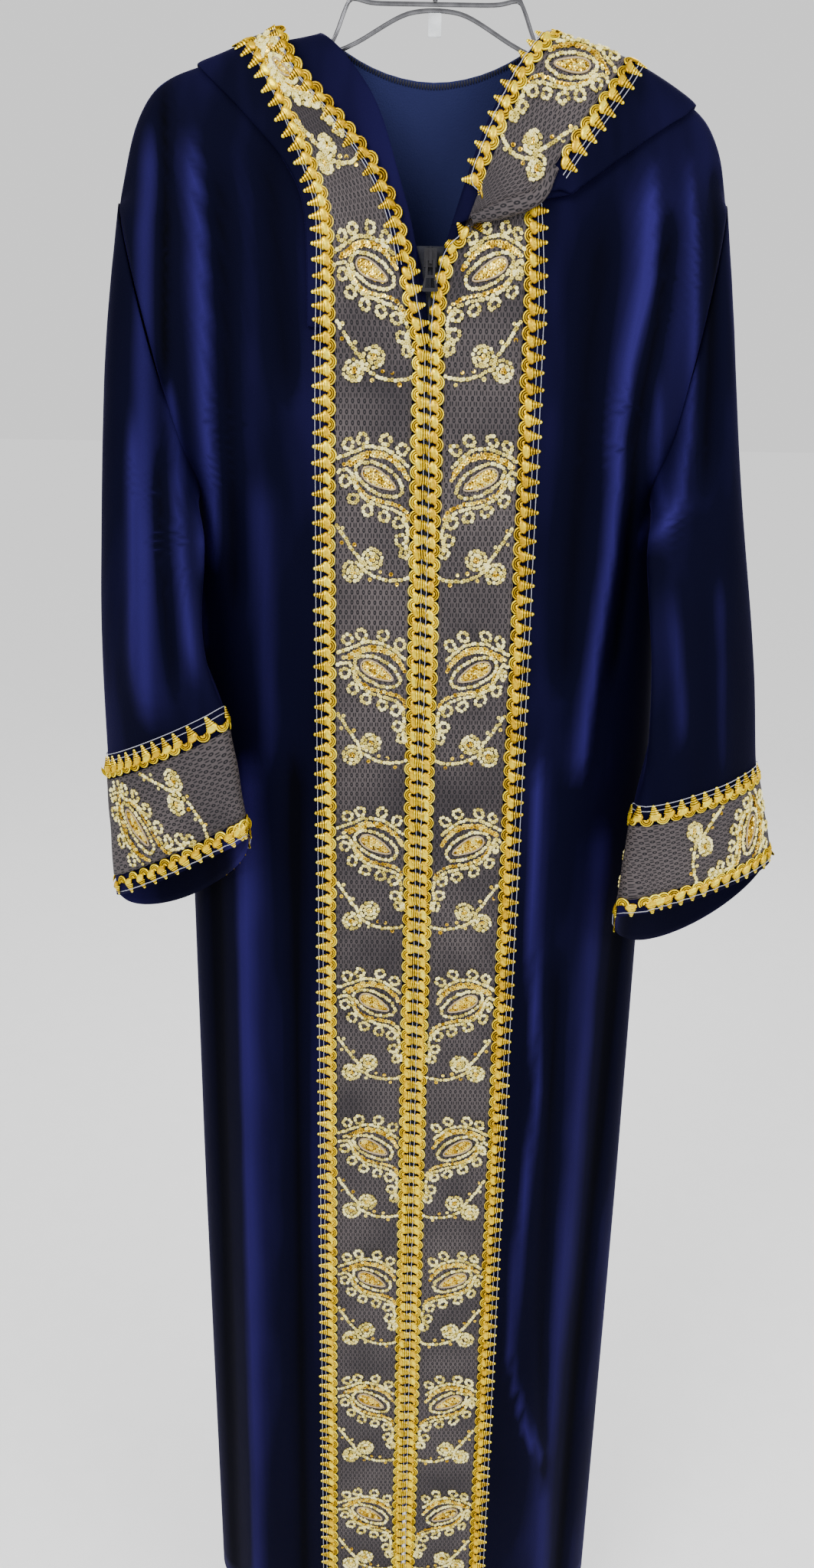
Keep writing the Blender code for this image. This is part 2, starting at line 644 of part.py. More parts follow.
def band_heights(top):
    return [top] + [z for z in reversed(KNOTS) if z < top - 0.002]


def plain_strip(name, side, edges, top, thick, mat):
    """A flat strip down a front, its edges given by two functions of z."""
    outer, inner = [], []
    for z in band_heights(top):
        xs = [edges[0](z), (edges[0](z) + edges[1](z)) / 2, edges[1](z)]
        outer.append([band_point(side, x, z, TRIM_GAP + thick) for x in xs])
        inner.append([band_point(side, x, z, TRIM_GAP) for x in xs])
    return wall(name, outer, inner, mat)


def inner_braid_edge(z):
    return front_edge_x(z) - CENTRE_GAP + 0.0005


def make_front_lace(side):
    edges = (lambda z: front_edge_x(z) - CENTRE_GAP + LACE_IN + SEAM, lambda z: LACE_OUT - SEAM)
    return plain_strip('lace_front_' + side, side, edges, BAND_TOP[side]['lace'], LACE, lace())


def make_inner_braid(side):
    edges = (inner_braid_edge, lambda z: front_edge_x(z) - CENTRE_GAP + LACE_IN)
    return plain_strip('braid_inner_' + side, side, edges, BAND_TOP[side]['inner'], BRAID,
                       gold_braid())


def picot_strip(name, core, valley, tips, normals, mat):
    """An open braid with a picot between each two valley points, and a sparser plain edge."""
    every = len(tips) // (len(core) - 1)
    points = []
    for lift in (BRAID, 0.0):
        for line, turned in zip((core, valley, tips), normals):
            points += [p + n * lift for p, n in zip(line, turned)]
    cores, valleys = len(core), len(core) + len(valley)
    back = valleys + len(tips)
    faces = []
    for g in range(len(core) - 1):
        first = cores + g * every
        low = list(range(first, first + every + 1))
        for move, flip in ((0, 1), (back, -1)):
            faces.append([i + move for i in [g + 1, g] + low][::flip])
        faces.append((g, g + 1, back + g + 1, back + g))
    for j in range(len(tips)):
        v0, v1, tip = cores + j, cores + j + 1, valleys + j
        for move, flip in ((0, 1), (back, -1)):
            faces.append([i + move for i in (v1, v0, tip)][::flip])
        faces.append((v0, back + v0, back + tip, tip))
        faces.append((tip, back + tip, back + v1, v1))
    for a, b in ((0, cores), (valleys - 1, cores - 1)):
        faces.append((a, back + a, back + b, b))
    return make_object(name, points, faces, mat)


def make_outer_braid(side):
    top = BAND_TOP[side]['outer']
    steps = CORE_EVERY * round((top - HEM_Z) / PICOT / CORE_EVERY)
    heights = [lerp(top, HEM_Z, i / steps) for i in range(steps + 1)]
    middles = [(a + b) / 2 for a, b in zip(heights, heights[1:])]
    core = [band_point(side, LACE_OUT, z, TRIM_GAP) for z in heights[::CORE_EVERY]]
    valley = [band_point(side, BAND_OUT, z, TRIM_GAP) for z in heights]
    tips = [band_point(side, BRAID_TIP, z, TRIM_GAP) for z in middles]
    forward = Vector((0, -1, 0))
    normals = [[forward] * len(core), [forward] * len(valley), [forward] * len(tips)]
    return picot_strip('braid_outer_' + side, core, valley, tips, normals, gold_braid())


# Hood

def chart_point(side, x, root, lift):
    """Point over the body: root is the signed root of the drop from the shoulder line."""
    def on_body(r):
        z = ridge_z(side, x) - r * r
        face = 'front' if r > 0 else 'back'
        y = body_depth(face, side, x, z) if abs(r) > 1e-6 else 0.0
        return Vector((0, -y if r > 0 else y, z))
    step = 0.004
    near, far = on_body(root + step), on_body(root - step)
    tangent = (far - near).normalized()
    normal = Vector((0, -tangent.z, tangent.y))
    here = on_body(root)
    if abs(root) < 0.05:
        sag = (near + far) / 2
        here = sag if abs(root) < step else here
        normal = normal if normal.z > 0 else -normal
    elif normal.y * (-1 if root > 0 else 1) < 0:
        normal = -normal
    p = here + normal * lift
    p.x = SIDES[side] * x
    return p


def chart_root(side, face, edge):
    if face == 'ridge':
        return edge[0], 0.0
    root = math.sqrt(max(ridge_z(side, edge[0]) - edge[1], 0.0))
    return edge[0], root if face == 'front' else -root


def hood_row(side, t):
    """Edges and heights of the hood at t, in lines of its table."""
    table = HOOD[side]
    edges = []
    for k in range(1, 5):
        chart = [chart_root(side, line[0], line[k]) for line in table]
        edges.append((catmull([c[0] for c in chart], t), catmull([c[1] for c in chart], t)))
    lifts = [catmull([line[k] / 1000 for line in table], t) for k in (5, 6, 7)]
    return edges, lifts


def hood_rows(side):
    return [i / HOOD_STEPS for i in range((len(HOOD[side]) - 1) * HOOD_STEPS + 1)]


def upper_layer(side, t, c, drop=0.0):
    """Top face of the hood's upper layer: c runs 0 mouth, 1 braid's points, 2 fold."""
    (_, mouth, tips, fold), (_, at_mouth, at_fold) = hood_row(side, t)
    a, b, f = (mouth, tips, c) if c <= 1 else (tips, fold, c - 1)
    lift = lerp(at_mouth, at_fold, smooth(c / 2)) - drop
    return chart_point(side, max(lerp(a[0], b[0], f), EDGE_X), lerp(a[1], b[1], f), lift)


def under_layer(side, t, a, drop=0.0):
    """Top face of the hood's under layer, a from the neck seam (0) to the fold (1)."""
    (neck, _, _, fold), (under, _, _) = hood_row(side, t)
    x, root = lerp(neck[0], fold[0], a), lerp(neck[1], fold[1], a)
    return chart_point(side, max(x, EDGE_X), root, under - drop)


def make_hood(side):
    outside, inside = [], []
    for t in hood_rows(side):
        low = [under_layer(side, t, a, HOOD_CLOTH) for a in UNDER_COLUMNS]
        high = [upper_layer(side, t, c) for c in UPPER_COLUMNS]
        half = HOOD_CLOTH / 2
        edge = (under_layer(side, t, 1.0, half) + upper_layer(side, t, 2.0, half)) / 2
        away = (edge - (low[-1] + high[0]) / 2).normalized()
        outside.append(low + [edge + away * half] + high)
        low = [under_layer(side, t, a) for a in UNDER_COLUMNS]
        high = [upper_layer(side, t, c, HOOD_CLOTH) for c in UPPER_COLUMNS]
        inside.append(low + [edge - away * half] + high)
    return wall('hood_' + side, outside, inside, velvet())


def hood_line(c):
    """Points of a line along the hood's band, from the left front round the back to the right."""
    left = [upper_layer('left', t, c) for t in hood_rows('left')]
    right = [upper_layer('right', t, c) for t in reversed(hood_rows('right'))]
    return left + right


def hood_surface(cs):
    """Rows along the band and columns across it, with normals, for the trimming."""
    lines = [hood_line(c) for c in cs]
    grid = [list(row) for row in zip(*lines)]
    normals = grid_normals(grid, lambda i, j: hood_outward(grid[i][j]))
    return grid, normals


def hood_outward(p):
    """Outwards over the shoulders, the front and the back."""
    return Vector((0, p.y * 8, 0.30)) if abs(p.y) < 0.02 else Vector((0, p.y, 0.0))


def trimmed(grid, normals, columns, thick):
    kept = [[row[j] for j in columns] for row in grid]
    turned = [[row[j] for j in columns] for row in normals]
    return moved(kept, turned, HOOD_BRAID_LIFT + thick), moved(kept, turned, HOOD_BRAID_LIFT)


def make_hood_lace():
    cs = (HOOD_LACE_IN + 0.005, 0.5, HOOD_LACE_OUT - 0.005)
    grid, normals = hood_surface(cs)
    outer, inner = trimmed(grid, normals, (0, 1, 2), LACE)
    return wall('lace_hood', outer, inner, lace())


def make_hood_inner_braid():
    grid, normals = hood_surface((0.0, HOOD_LACE_IN))
    outer, inner = trimmed(grid, normals, (0, 1), BRAID)
    return wall('braid_hood_inner', outer, inner, gold_braid())


def make_hood_outer_braid():
    """The picoted braid on the outer side of the hood's band."""
    cs = (HOOD_LACE_OUT, HOOD_VALLEY, 1.0)
    grid, normals = hood_surface(cs)
    core, valley, tips = [], [], []
    turned = [[], [], []]
    for i, row in enumerate(grid):
        core.append(row[0] + normals[i][0] * HOOD_BRAID_LIFT)
        valley.append(row[1] + normals[i][1] * HOOD_BRAID_LIFT)
        turned[0].append(normals[i][0])
        turned[1].append(normals[i][1])
        if i + 1 < len(grid):
            normal = (normals[i][2] + normals[i + 1][2]).normalized()
            tips.append((row[2] + grid[i + 1][2]) / 2 + normal * HOOD_BRAID_LIFT)
            turned[2].append(normal)
    return picot_strip('braid_hood_outer', core, valley, tips, turned, gold_braid())


# Zip

def zip_back(z):
    """y of the tape's front face, behind both front edges."""
    depth = min(band_depth('left', 0.002, z), band_depth('right', 0.002, z))
    return -(depth - CLOTH - SEAM)


def make_zip_tape():
    """Two tapes and the closed coil between them, one strip down the middle."""
    heights = [ZIP_TOP_Z] + [z for z in reversed(KNOTS) if ZIP_BOTTOM_Z < z < ZIP_TOP_Z - 0.004]
    heights.append(ZIP_BOTTOM_Z)
    columns = ((-TAPE_HALF, 0.0), (-COIL_HALF, 0.0), (-COIL_HALF, COIL), (COIL_HALF, COIL),
               (COIL_HALF, 0.0), (TAPE_HALF, 0.0))
    outer = [[Vector((x, zip_back(z) - rise, z)) for x, rise in columns] for z in heights]
    inner = [[Vector((x, zip_back(z) + TAPE, z)) for x, rise in columns] for z in heights]
    return wall('zip_tape', outer, inner, zip_black())


def box_points(low, high):
    return [Vector((x, y, z)) for x in (low[0], high[0]) for y in (low[1], high[1])
            for z in (low[2], high[2])]


BOX_FACES = ((0, 1, 3, 2), (4, 6, 7, 5), (0, 4, 5, 1), (2, 3, 7, 6), (0, 2, 6, 4), (1, 5, 7, 3))


def make_box(name, centre, size, mat, bevel=0.0):
    half = Vector(size) / 2
    obj = make_object(name, box_points(centre - half, centre + half), BOX_FACES, mat)
    if bevel:
        edge = obj.modifiers.new('rounded', 'BEVEL')
        edge.width = bevel
        edge.segments = 2
    return obj


def plate(name, outline, holes, y_front, thick, mat):
    """A flat plate in the XZ plane with rectangular holes, its front at y_front."""
    curve = bpy.data.curves.new(name, 'CURVE')
    curve.dimensions = '2D'
    curve.fill_mode = 'BOTH'
    curve.extrude = thick / 2
    for loop in [outline] + holes:
        spline = curve.splines.new('POLY')
        spline.points.add(len(loop) - 1)
        for point, (x, z) in zip(spline.points, loop):
            point.co = (x, z, 0, 1)
        spline.use_cyclic_u = True
    holder = bpy.data.objects.new(name + '_outline', curve)
    bpy.context.scene.collection.objects.link(holder)
    mesh = bpy.data.meshes.new_from_object(holder.evaluated_get(
        bpy.context.evaluated_depsgraph_get()))
    bpy.data.objects.remove(holder)
    bm = bmesh.new()
    bm.from_mesh(mesh)
    bmesh.ops.remove_doubles(bm, verts=bm.verts, dist=0.00001)
    for v in bm.verts:
        v.co = Vector((v.co.x, y_front + thick / 2 + v.co.z, v.co.y))
    bmesh.ops.triangulate(bm, faces=bm.faces)
    bmesh.ops.recalc_face_normals(bm, faces=bm.faces)
    bm.to_mesh(mesh)
    bm.free()
    mesh.materials.clear()
    mesh.materials.append(mat)
    obj = bpy.data.objects.new(name, mesh)
    bpy.context.scene.collection.objects.link(obj)
    return obj


def front_of_slider():
    """y of the slider's front face: just proud of the cloth's face at the opening."""
    return -(look_up(DEPTH, SLIDER_Z) + 0.0006)


def pull_axis():
    """The pull's bar lies in the bail, at the bail's lower end."""
    return Vector((0.0, front_of_slider() - BAIL_ROOM, SLIDER_Z - SLIDER_HEIGHT / 2 + 0.0050))


def block_object(name, xs, ys, zs, filled, mat):
    """One body made of the filled cells of a lattice, each cell named by its three indices."""
    corner = {}
    points, faces = [], []

    def index(key):
        if key not in corner:
            corner[key] = len(points)
            points.append(Vector((xs[key[0]], ys[key[1]], zs[key[2]])))
        return corner[key]

    for cell in sorted(filled):
        for axis in range(3):
            for step in (0, 1):
                other = list(cell)
                other[axis] += 1 if step else -1
                if tuple(other) in filled:
                    continue
                u, v = (axis + 1) % 3, (axis + 2) % 3
                loop = []
                for du, dv in ((0, 0), (1, 0), (1, 1), (0, 1)):
                    key = list(cell)
                    key[axis] += step
                    key[u] += du
                    key[v] += dv
                    loop.append(index(tuple(key)))
                faces.append(loop if step else loop[::-1])
    return make_object(name, points, faces, mat, smooth_shading=False)


def make_slider():
    """Slider body with its bail, a low arch that holds the pull's bar."""
    front = front_of_slider()
    half_x, half_z = SLIDER_WIDTH / 2, SLIDER_HEIGHT / 2
    back = min(zip_back(SLIDER_Z - half_z), zip_back(SLIDER_Z + half_z)) - COIL - SEAM
    xs = (-half_x, -BAIL_WIDTH / 2, BAIL_WIDTH / 2, half_x)
    ys = (front - 0.0046, front - 0.0036, front, back)
    zs = [SLIDER_Z + d for d in (-half_z, -half_z + 0.0020, -half_z + 0.0034, half_z - 0.0024,
                                 half_z - 0.0010, half_z)]
    body = {(i, 2, k) for i in range(3) for k in range(5)}
    feet = {(1, 1, 1), (1, 1, 3)}
    arch = {(1, 0, 1), (1, 0, 2), (1, 0, 3)}
    return block_object('zip_slider', xs, ys, zs, body | feet | arch, zip_black())


def make_pull():
    """Pull tab: a long slot round the bail, then a plate with a square window."""
    axis = pull_axis()
    top, low = axis.z + BAR, axis.z + BAR - PULL_LENGTH
    slot_low = top - PULL_LENGTH / 2
    outline = [(-PULL_TOP_HALF, top), (-PULL_TOP_HALF, slot_low), (-PULL_BOTTOM_HALF, low + 0.001),
               (-PULL_BOTTOM_HALF + 0.001, low), (PULL_BOTTOM_HALF - 0.001, low),
               (PULL_BOTTOM_HALF, low + 0.001), (PULL_TOP_HALF, slot_low), (PULL_TOP_HALF, top)]
    slot = [(-0.0019, top - 2 * BAR), (-0.0019, slot_low), (0.0019, slot_low),
            (0.0019, top - 2 * BAR)]
    window = [(-0.0030, slot_low - 0.0020), (-0.0036, low + 0.0026), (0.0036, low + 0.0026),
              (0.0030, slot_low - 0.0020)]
    return plate('zip_pull', outline, [slot, window], axis.y - PULL / 2, PULL, zip_black())


# Hanger

def tube(name, route, radius, mat, closed=False, sides=1):
    """A round wire along a route of points."""
    curve = bpy.data.curves.new(name, 'CURVE')
    curve.dimensions = '3D'
    curve.bevel_depth = radius
    curve.bevel_resolution = sides
    curve.use_fill_caps = not closed
    spline = curve.splines.new('POLY')
    spline.points.add(len(route) - 1)
    for point, p in zip(spline.points, route):
        point.co = (*p, 1)
    spline.use_cyclic_u = closed
    curve.materials.append(mat)
    obj = bpy.data.objects.new(name, curve)
    bpy.context.scene.collection.objects.link(obj)
    return obj


def wire_half(side):
    """Half of the hanger's wire: hump and shoulder out to the tip, and the arch back."""
    route = [Vector((x, 0, z)) for x, z in UPPER_WIRE]
    for x in SHOULDER_WIRE + (TIP_X - TIP_R,):
        route.append(Vector((x, 0, ridge_z(side, x) - WIRE_BELOW_RIDGE)))
    tip = route[-1]
    for angle in (60, 20, -20, -60, -90):
        turn = math.radians(angle)
        route.append(tip + Vector((math.cos(turn), 0, math.sin(turn) - 1.0)) * TIP_R)
    for x, z in reversed(LOWER_WIRE):
        route.append(Vector((x, 0, z)))
    sign = SIDES[side]
    return [Vector((sign * p.x, p.y, p.z)) for p in route]


def make_hanger():
    left, right = wire_half('left'), wire_half('right')
    route = left + list(reversed(right))[1:-1]
    return tube('hanger_wire', route, WIRE_R, steel(), closed=True)


def make_hook():
    """Hook and stem in one wire. Its inside top is the origin."""
    radius = HOOK_INNER_R + HOOK_WIRE_R
    middle = Vector((0, 0, -HOOK_INNER_R))
    foot = UPPER_WIRE[0][1] + WIRE_R + SEAM
    route = [Vector((0, 0, foot))] + [Vector((x, 0, z)) for x, z in STEM]
    for angle in range(-46, 216, 12):
        turn = math.radians(angle)
        route.append(middle + Vector((radius * math.cos(turn), 0, radius * math.sin(turn))))
    return tube('hanger_hook', route, HOOK_WIRE_R, steel())


def make_clip():
    top = LOWER_WIRE[0][1] - WIRE_R - SEAM
    centre = Vector((0, 0, top - CLIP[2] / 2))
    return make_box('hanger_clip', centre, CLIP, clear_plastic(), bevel=0.0008)


def main():
    for obj in list(bpy.data.objects):
        bpy.data.objects.remove(obj, do_unlink=True)
    make_back()
    for side in SIDES:
        make_front(side)
        make_sleeve(side)
        make_hood(side)
        make_front_lace(side)
        make_inner_braid(side)
        make_outer_braid(side)
        make_cuff_lace(side)
        make_cuff_braid(side, upper=True)
        make_cuff_braid(side, upper=False)
    make_hood_lace()
    make_hood_inner_braid()
    make_hood_outer_braid()
    make_zip_tape()
    make_slider()
    make_pull()
    make_hanger()
    make_hook()
    make_clip()


main()
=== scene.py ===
"""Looks of the hooded velvet robe on its wire hanger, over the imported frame."""

import math

import bmesh
import bpy
import numpy as np
from mathutils import Matrix, Vector
from mathutils.bvhtree import BVHTree


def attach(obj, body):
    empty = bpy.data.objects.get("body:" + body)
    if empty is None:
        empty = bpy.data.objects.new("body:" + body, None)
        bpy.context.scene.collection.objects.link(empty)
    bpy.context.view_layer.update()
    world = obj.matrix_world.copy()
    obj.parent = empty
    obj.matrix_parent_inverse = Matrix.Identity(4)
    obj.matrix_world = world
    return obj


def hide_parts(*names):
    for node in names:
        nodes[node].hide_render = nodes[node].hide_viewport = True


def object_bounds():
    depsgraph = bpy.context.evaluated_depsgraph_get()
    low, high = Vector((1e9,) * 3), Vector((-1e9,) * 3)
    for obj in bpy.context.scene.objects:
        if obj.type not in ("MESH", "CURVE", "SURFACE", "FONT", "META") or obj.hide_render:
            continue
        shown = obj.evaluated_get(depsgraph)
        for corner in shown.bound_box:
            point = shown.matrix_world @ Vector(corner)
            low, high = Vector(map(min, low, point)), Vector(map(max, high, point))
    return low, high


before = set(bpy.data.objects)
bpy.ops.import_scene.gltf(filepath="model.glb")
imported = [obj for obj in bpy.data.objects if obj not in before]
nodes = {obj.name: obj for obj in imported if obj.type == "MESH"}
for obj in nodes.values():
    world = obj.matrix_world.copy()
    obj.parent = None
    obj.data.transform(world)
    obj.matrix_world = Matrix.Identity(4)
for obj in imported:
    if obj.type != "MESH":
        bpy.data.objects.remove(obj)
cad_low, cad_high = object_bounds()

SIDES = {"left": 1.0, "right": -1.0}     # the wearer's sides, +X is the wearer's left
MM = 0.001

# Camera, as the photograph was taken
CAMERA_PLACE = (-0.0105, -0.9616, -0.3525)
CAMERA_PITCH = 18.3       # degrees down
CAMERA_ROLL = 1.0         # degrees
FOCAL_PX = 1500.0
IMAGE_HEIGHT = 2048
SENSOR = 36.0

# Bands: everything across them is counted from the lace's inner edge
LACE_WIDTH = 0.058
REPEAT = 0.150            # one repeat of the embroidery
EYE_Z = -0.2575           # height of the first eye on the fronts
EYES = 9
PICOT = 0.0113            # pitch of the braids
BAND_FROM, BAND_TO = -0.012, 0.0765      # how far across its grid reaches
BAND_STEP = 0.004         # from one row of its grid to the next
BAND_COLUMNS = 16
WELD = 2e-6               # the frame's points closer than this are one
THIN = 0.0026             # an edge shorter than this crosses a wall's thickness
STEP_REACH = 0.012        # a band's slope over the edge of the hood, along the band
STEP_ROUNDS = 24
STEP_LIFT = 0.0009
RING_START = 0.014        # a cuff's points look for the cloth from this far outside
RING_EASE = 0.0006        # and lie this little above it
BACKING_BELOW = -0.0495   # under this height the body's inner face shows the velvet's back
RAIL_POINTS, FINE_POINTS = 400, 1600     # points along a rail, and where its partners are sought
PARTNER_EVEN = 12         # partners are evened over this many points to either side
SMOOTH_LEVELS = 2
SHARP = math.radians(60)  # edges of a strip bend more than this
RIM_BEND = math.radians(45)
LONG_EDGE = 0.06          # longer edges are halved before smoothing


# Reading the frame

def quads_of(node):
    """The node's solid with its triangles joined back to four-sided faces."""
    bm = bmesh.new()
    bm.from_mesh(nodes[node].data)
    bmesh.ops.remove_doubles(bm, verts=bm.verts, dist=WELD)
    bmesh.ops.join_triangles(bm, faces=bm.faces, angle_face_threshold=math.radians(70),
                             angle_shape_threshold=math.radians(180))
    return bm


def long_chains(node):
    """Long rim edges of a strip as lists of points, a closed ring giving closed lists."""
    bm = quads_of(node)
    sharp = {}
    for edge in bm.edges:
        if edge.is_manifold and edge.calc_face_angle(0.0) > SHARP:
            for vert in edge.verts:
                sharp.setdefault(vert, []).append(edge)
    corners = {v for v, edges in sharp.items() if len(edges) > 2}
    chains, used = [], set()
    starts = [(v, e) for v in corners for e in sharp[v]]
    starts += [(v, edges[0]) for v, edges in sharp.items() if v not in corners]
    for vert, edge in starts:
        if edge in used:
            continue
        chain = [vert.co.copy()]
        first = vert
        while edge is not None and edge not in used:
            used.add(edge)
            vert = edge.other_vert(vert)
            if vert is first:
                break
            chain.append(vert.co.copy())
            onward = [e for e in sharp[vert] if e not in used]
            edge = onward[0] if onward and vert not in corners else None
        chains.append(chain)
    bm.free()
    chains.sort(key=lambda c: -sum((b - a).length for a, b in zip(c, c[1:])))
    return chains[:4]


def outer_rails(node, cloth):
    """The two rails of a strip's outer face, which is the side away from the cloth."""
    chains = long_chains(node)
    chains.sort(key=lambda c: -sum(cloth.find_nearest(p)[3] for p in c) / len(c))
    return chains[:2]


def array(points):
    return np.array([tuple(p) for p in points], float)


# Cloth shells

def shell_bmesh(node):
    """Rim edges of the wall are creased, so that its outline keeps its size when smoothed."""
    bm = quads_of(node)
    crease = bm.edges.layers.float.new("crease_edge")
    for face in bm.faces:
        short = [e for e in face.edges if e.calc_length() < THIN]
        if len(face.edges) != 4 or len(short) != 2:
            continue
        for edge in face.edges:
            if edge.calc_face_angle(0.0) > RIM_BEND:
                edge[crease] = 1.0
    long_edges = [e for e in bm.edges if e.calc_length() > LONG_EDGE]
    bmesh.ops.subdivide_edges(bm, edges=long_edges, cuts=1, use_grid_fill=True)
    return bm


def new_object(name, data):
    obj = bpy.data.objects.new(name, data)
    bpy.context.scene.collection.objects.link(obj)
    return obj


def smooth_shell(name, node):
    """The node smoothed as a subdivision surface."""
    mesh = bpy.data.meshes.new(name)
    bm = shell_bmesh(node)
    bm.to_mesh(mesh)
    bm.free()
    obj = new_object(name, mesh)
    rounding = obj.modifiers.new("rounding", "SUBSURF")
    rounding.levels = rounding.render_levels = SMOOTH_LEVELS
    graph = bpy.context.evaluated_depsgraph_get()
    graph.update()
    mesh = bpy.data.meshes.new_from_object(obj.evaluated_get(graph))
    mesh.name = name
    obj.modifiers.clear()
    obj.data = mesh
    return obj


def tree_of(*objs):
    """One search tree over the triangles of all the objects."""
    points, faces = [], []
    for obj in objs:
        obj.data.calc_loop_triangles()
        start = len(points)
        points += [v.co for v in obj.data.vertices]
        faces += [tuple(start + i for i in t.vertices) for t in obj.data.loop_triangles]
    return BVHTree.FromPolygons(points, faces)


def finish_piece(obj, mat, slot, *replaced):
    obj.data.materials.clear()
    obj.data.materials.append(mat)
    obj.data.shade_smooth()
    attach(obj, "robe")
    if replaced:
        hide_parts(*replaced)
    return obj


# Lines and grids of points

def unit(v):
    return v / np.maximum(np.linalg.norm(v, axis=-1, keepdims=True), 1e-12)


def smoothstep(x):
    x = np.clip(x, 0.0, 1.0)
    return x * x * (3.0 - 2.0 * x)


def run_of(points):
    """Distance along a line of points at each of them."""
    return np.concatenate([[0], np.cumsum(np.linalg.norm(np.diff(points, axis=0), axis=1))])


def read_along(keys, rows, wanted):
    """Rows given at their keys, read at the wanted keys."""
    return np.column_stack([np.interp(wanted, keys, rows[:, k]) for k in range(rows.shape[1])])


def eased(values):
    """Each inner row drawn halfway to the middle of its neighbours."""
    return values[1:-1] * 0.5 + (values[:-2] + values[2:]) * 0.25


def grid_faces(rows, cols, ring=False):
    """Four-sided faces of a grid of points. A ring's last column joins its first."""
    pairs = [(k, (k + 1) % cols) for k in range(cols if ring else cols - 1)]
    return [(start + k, start + m, start + cols + m, start + cols + k)
            for start in range(0, (rows - 1) * cols, cols) for k, m in pairs]


def tris(faces):
    """Triangles of faces with three or more corners."""
    return np.array([(face[0], face[k], face[k + 1])
                     for face in faces for k in range(1, len(face) - 1)], int)


# Bands

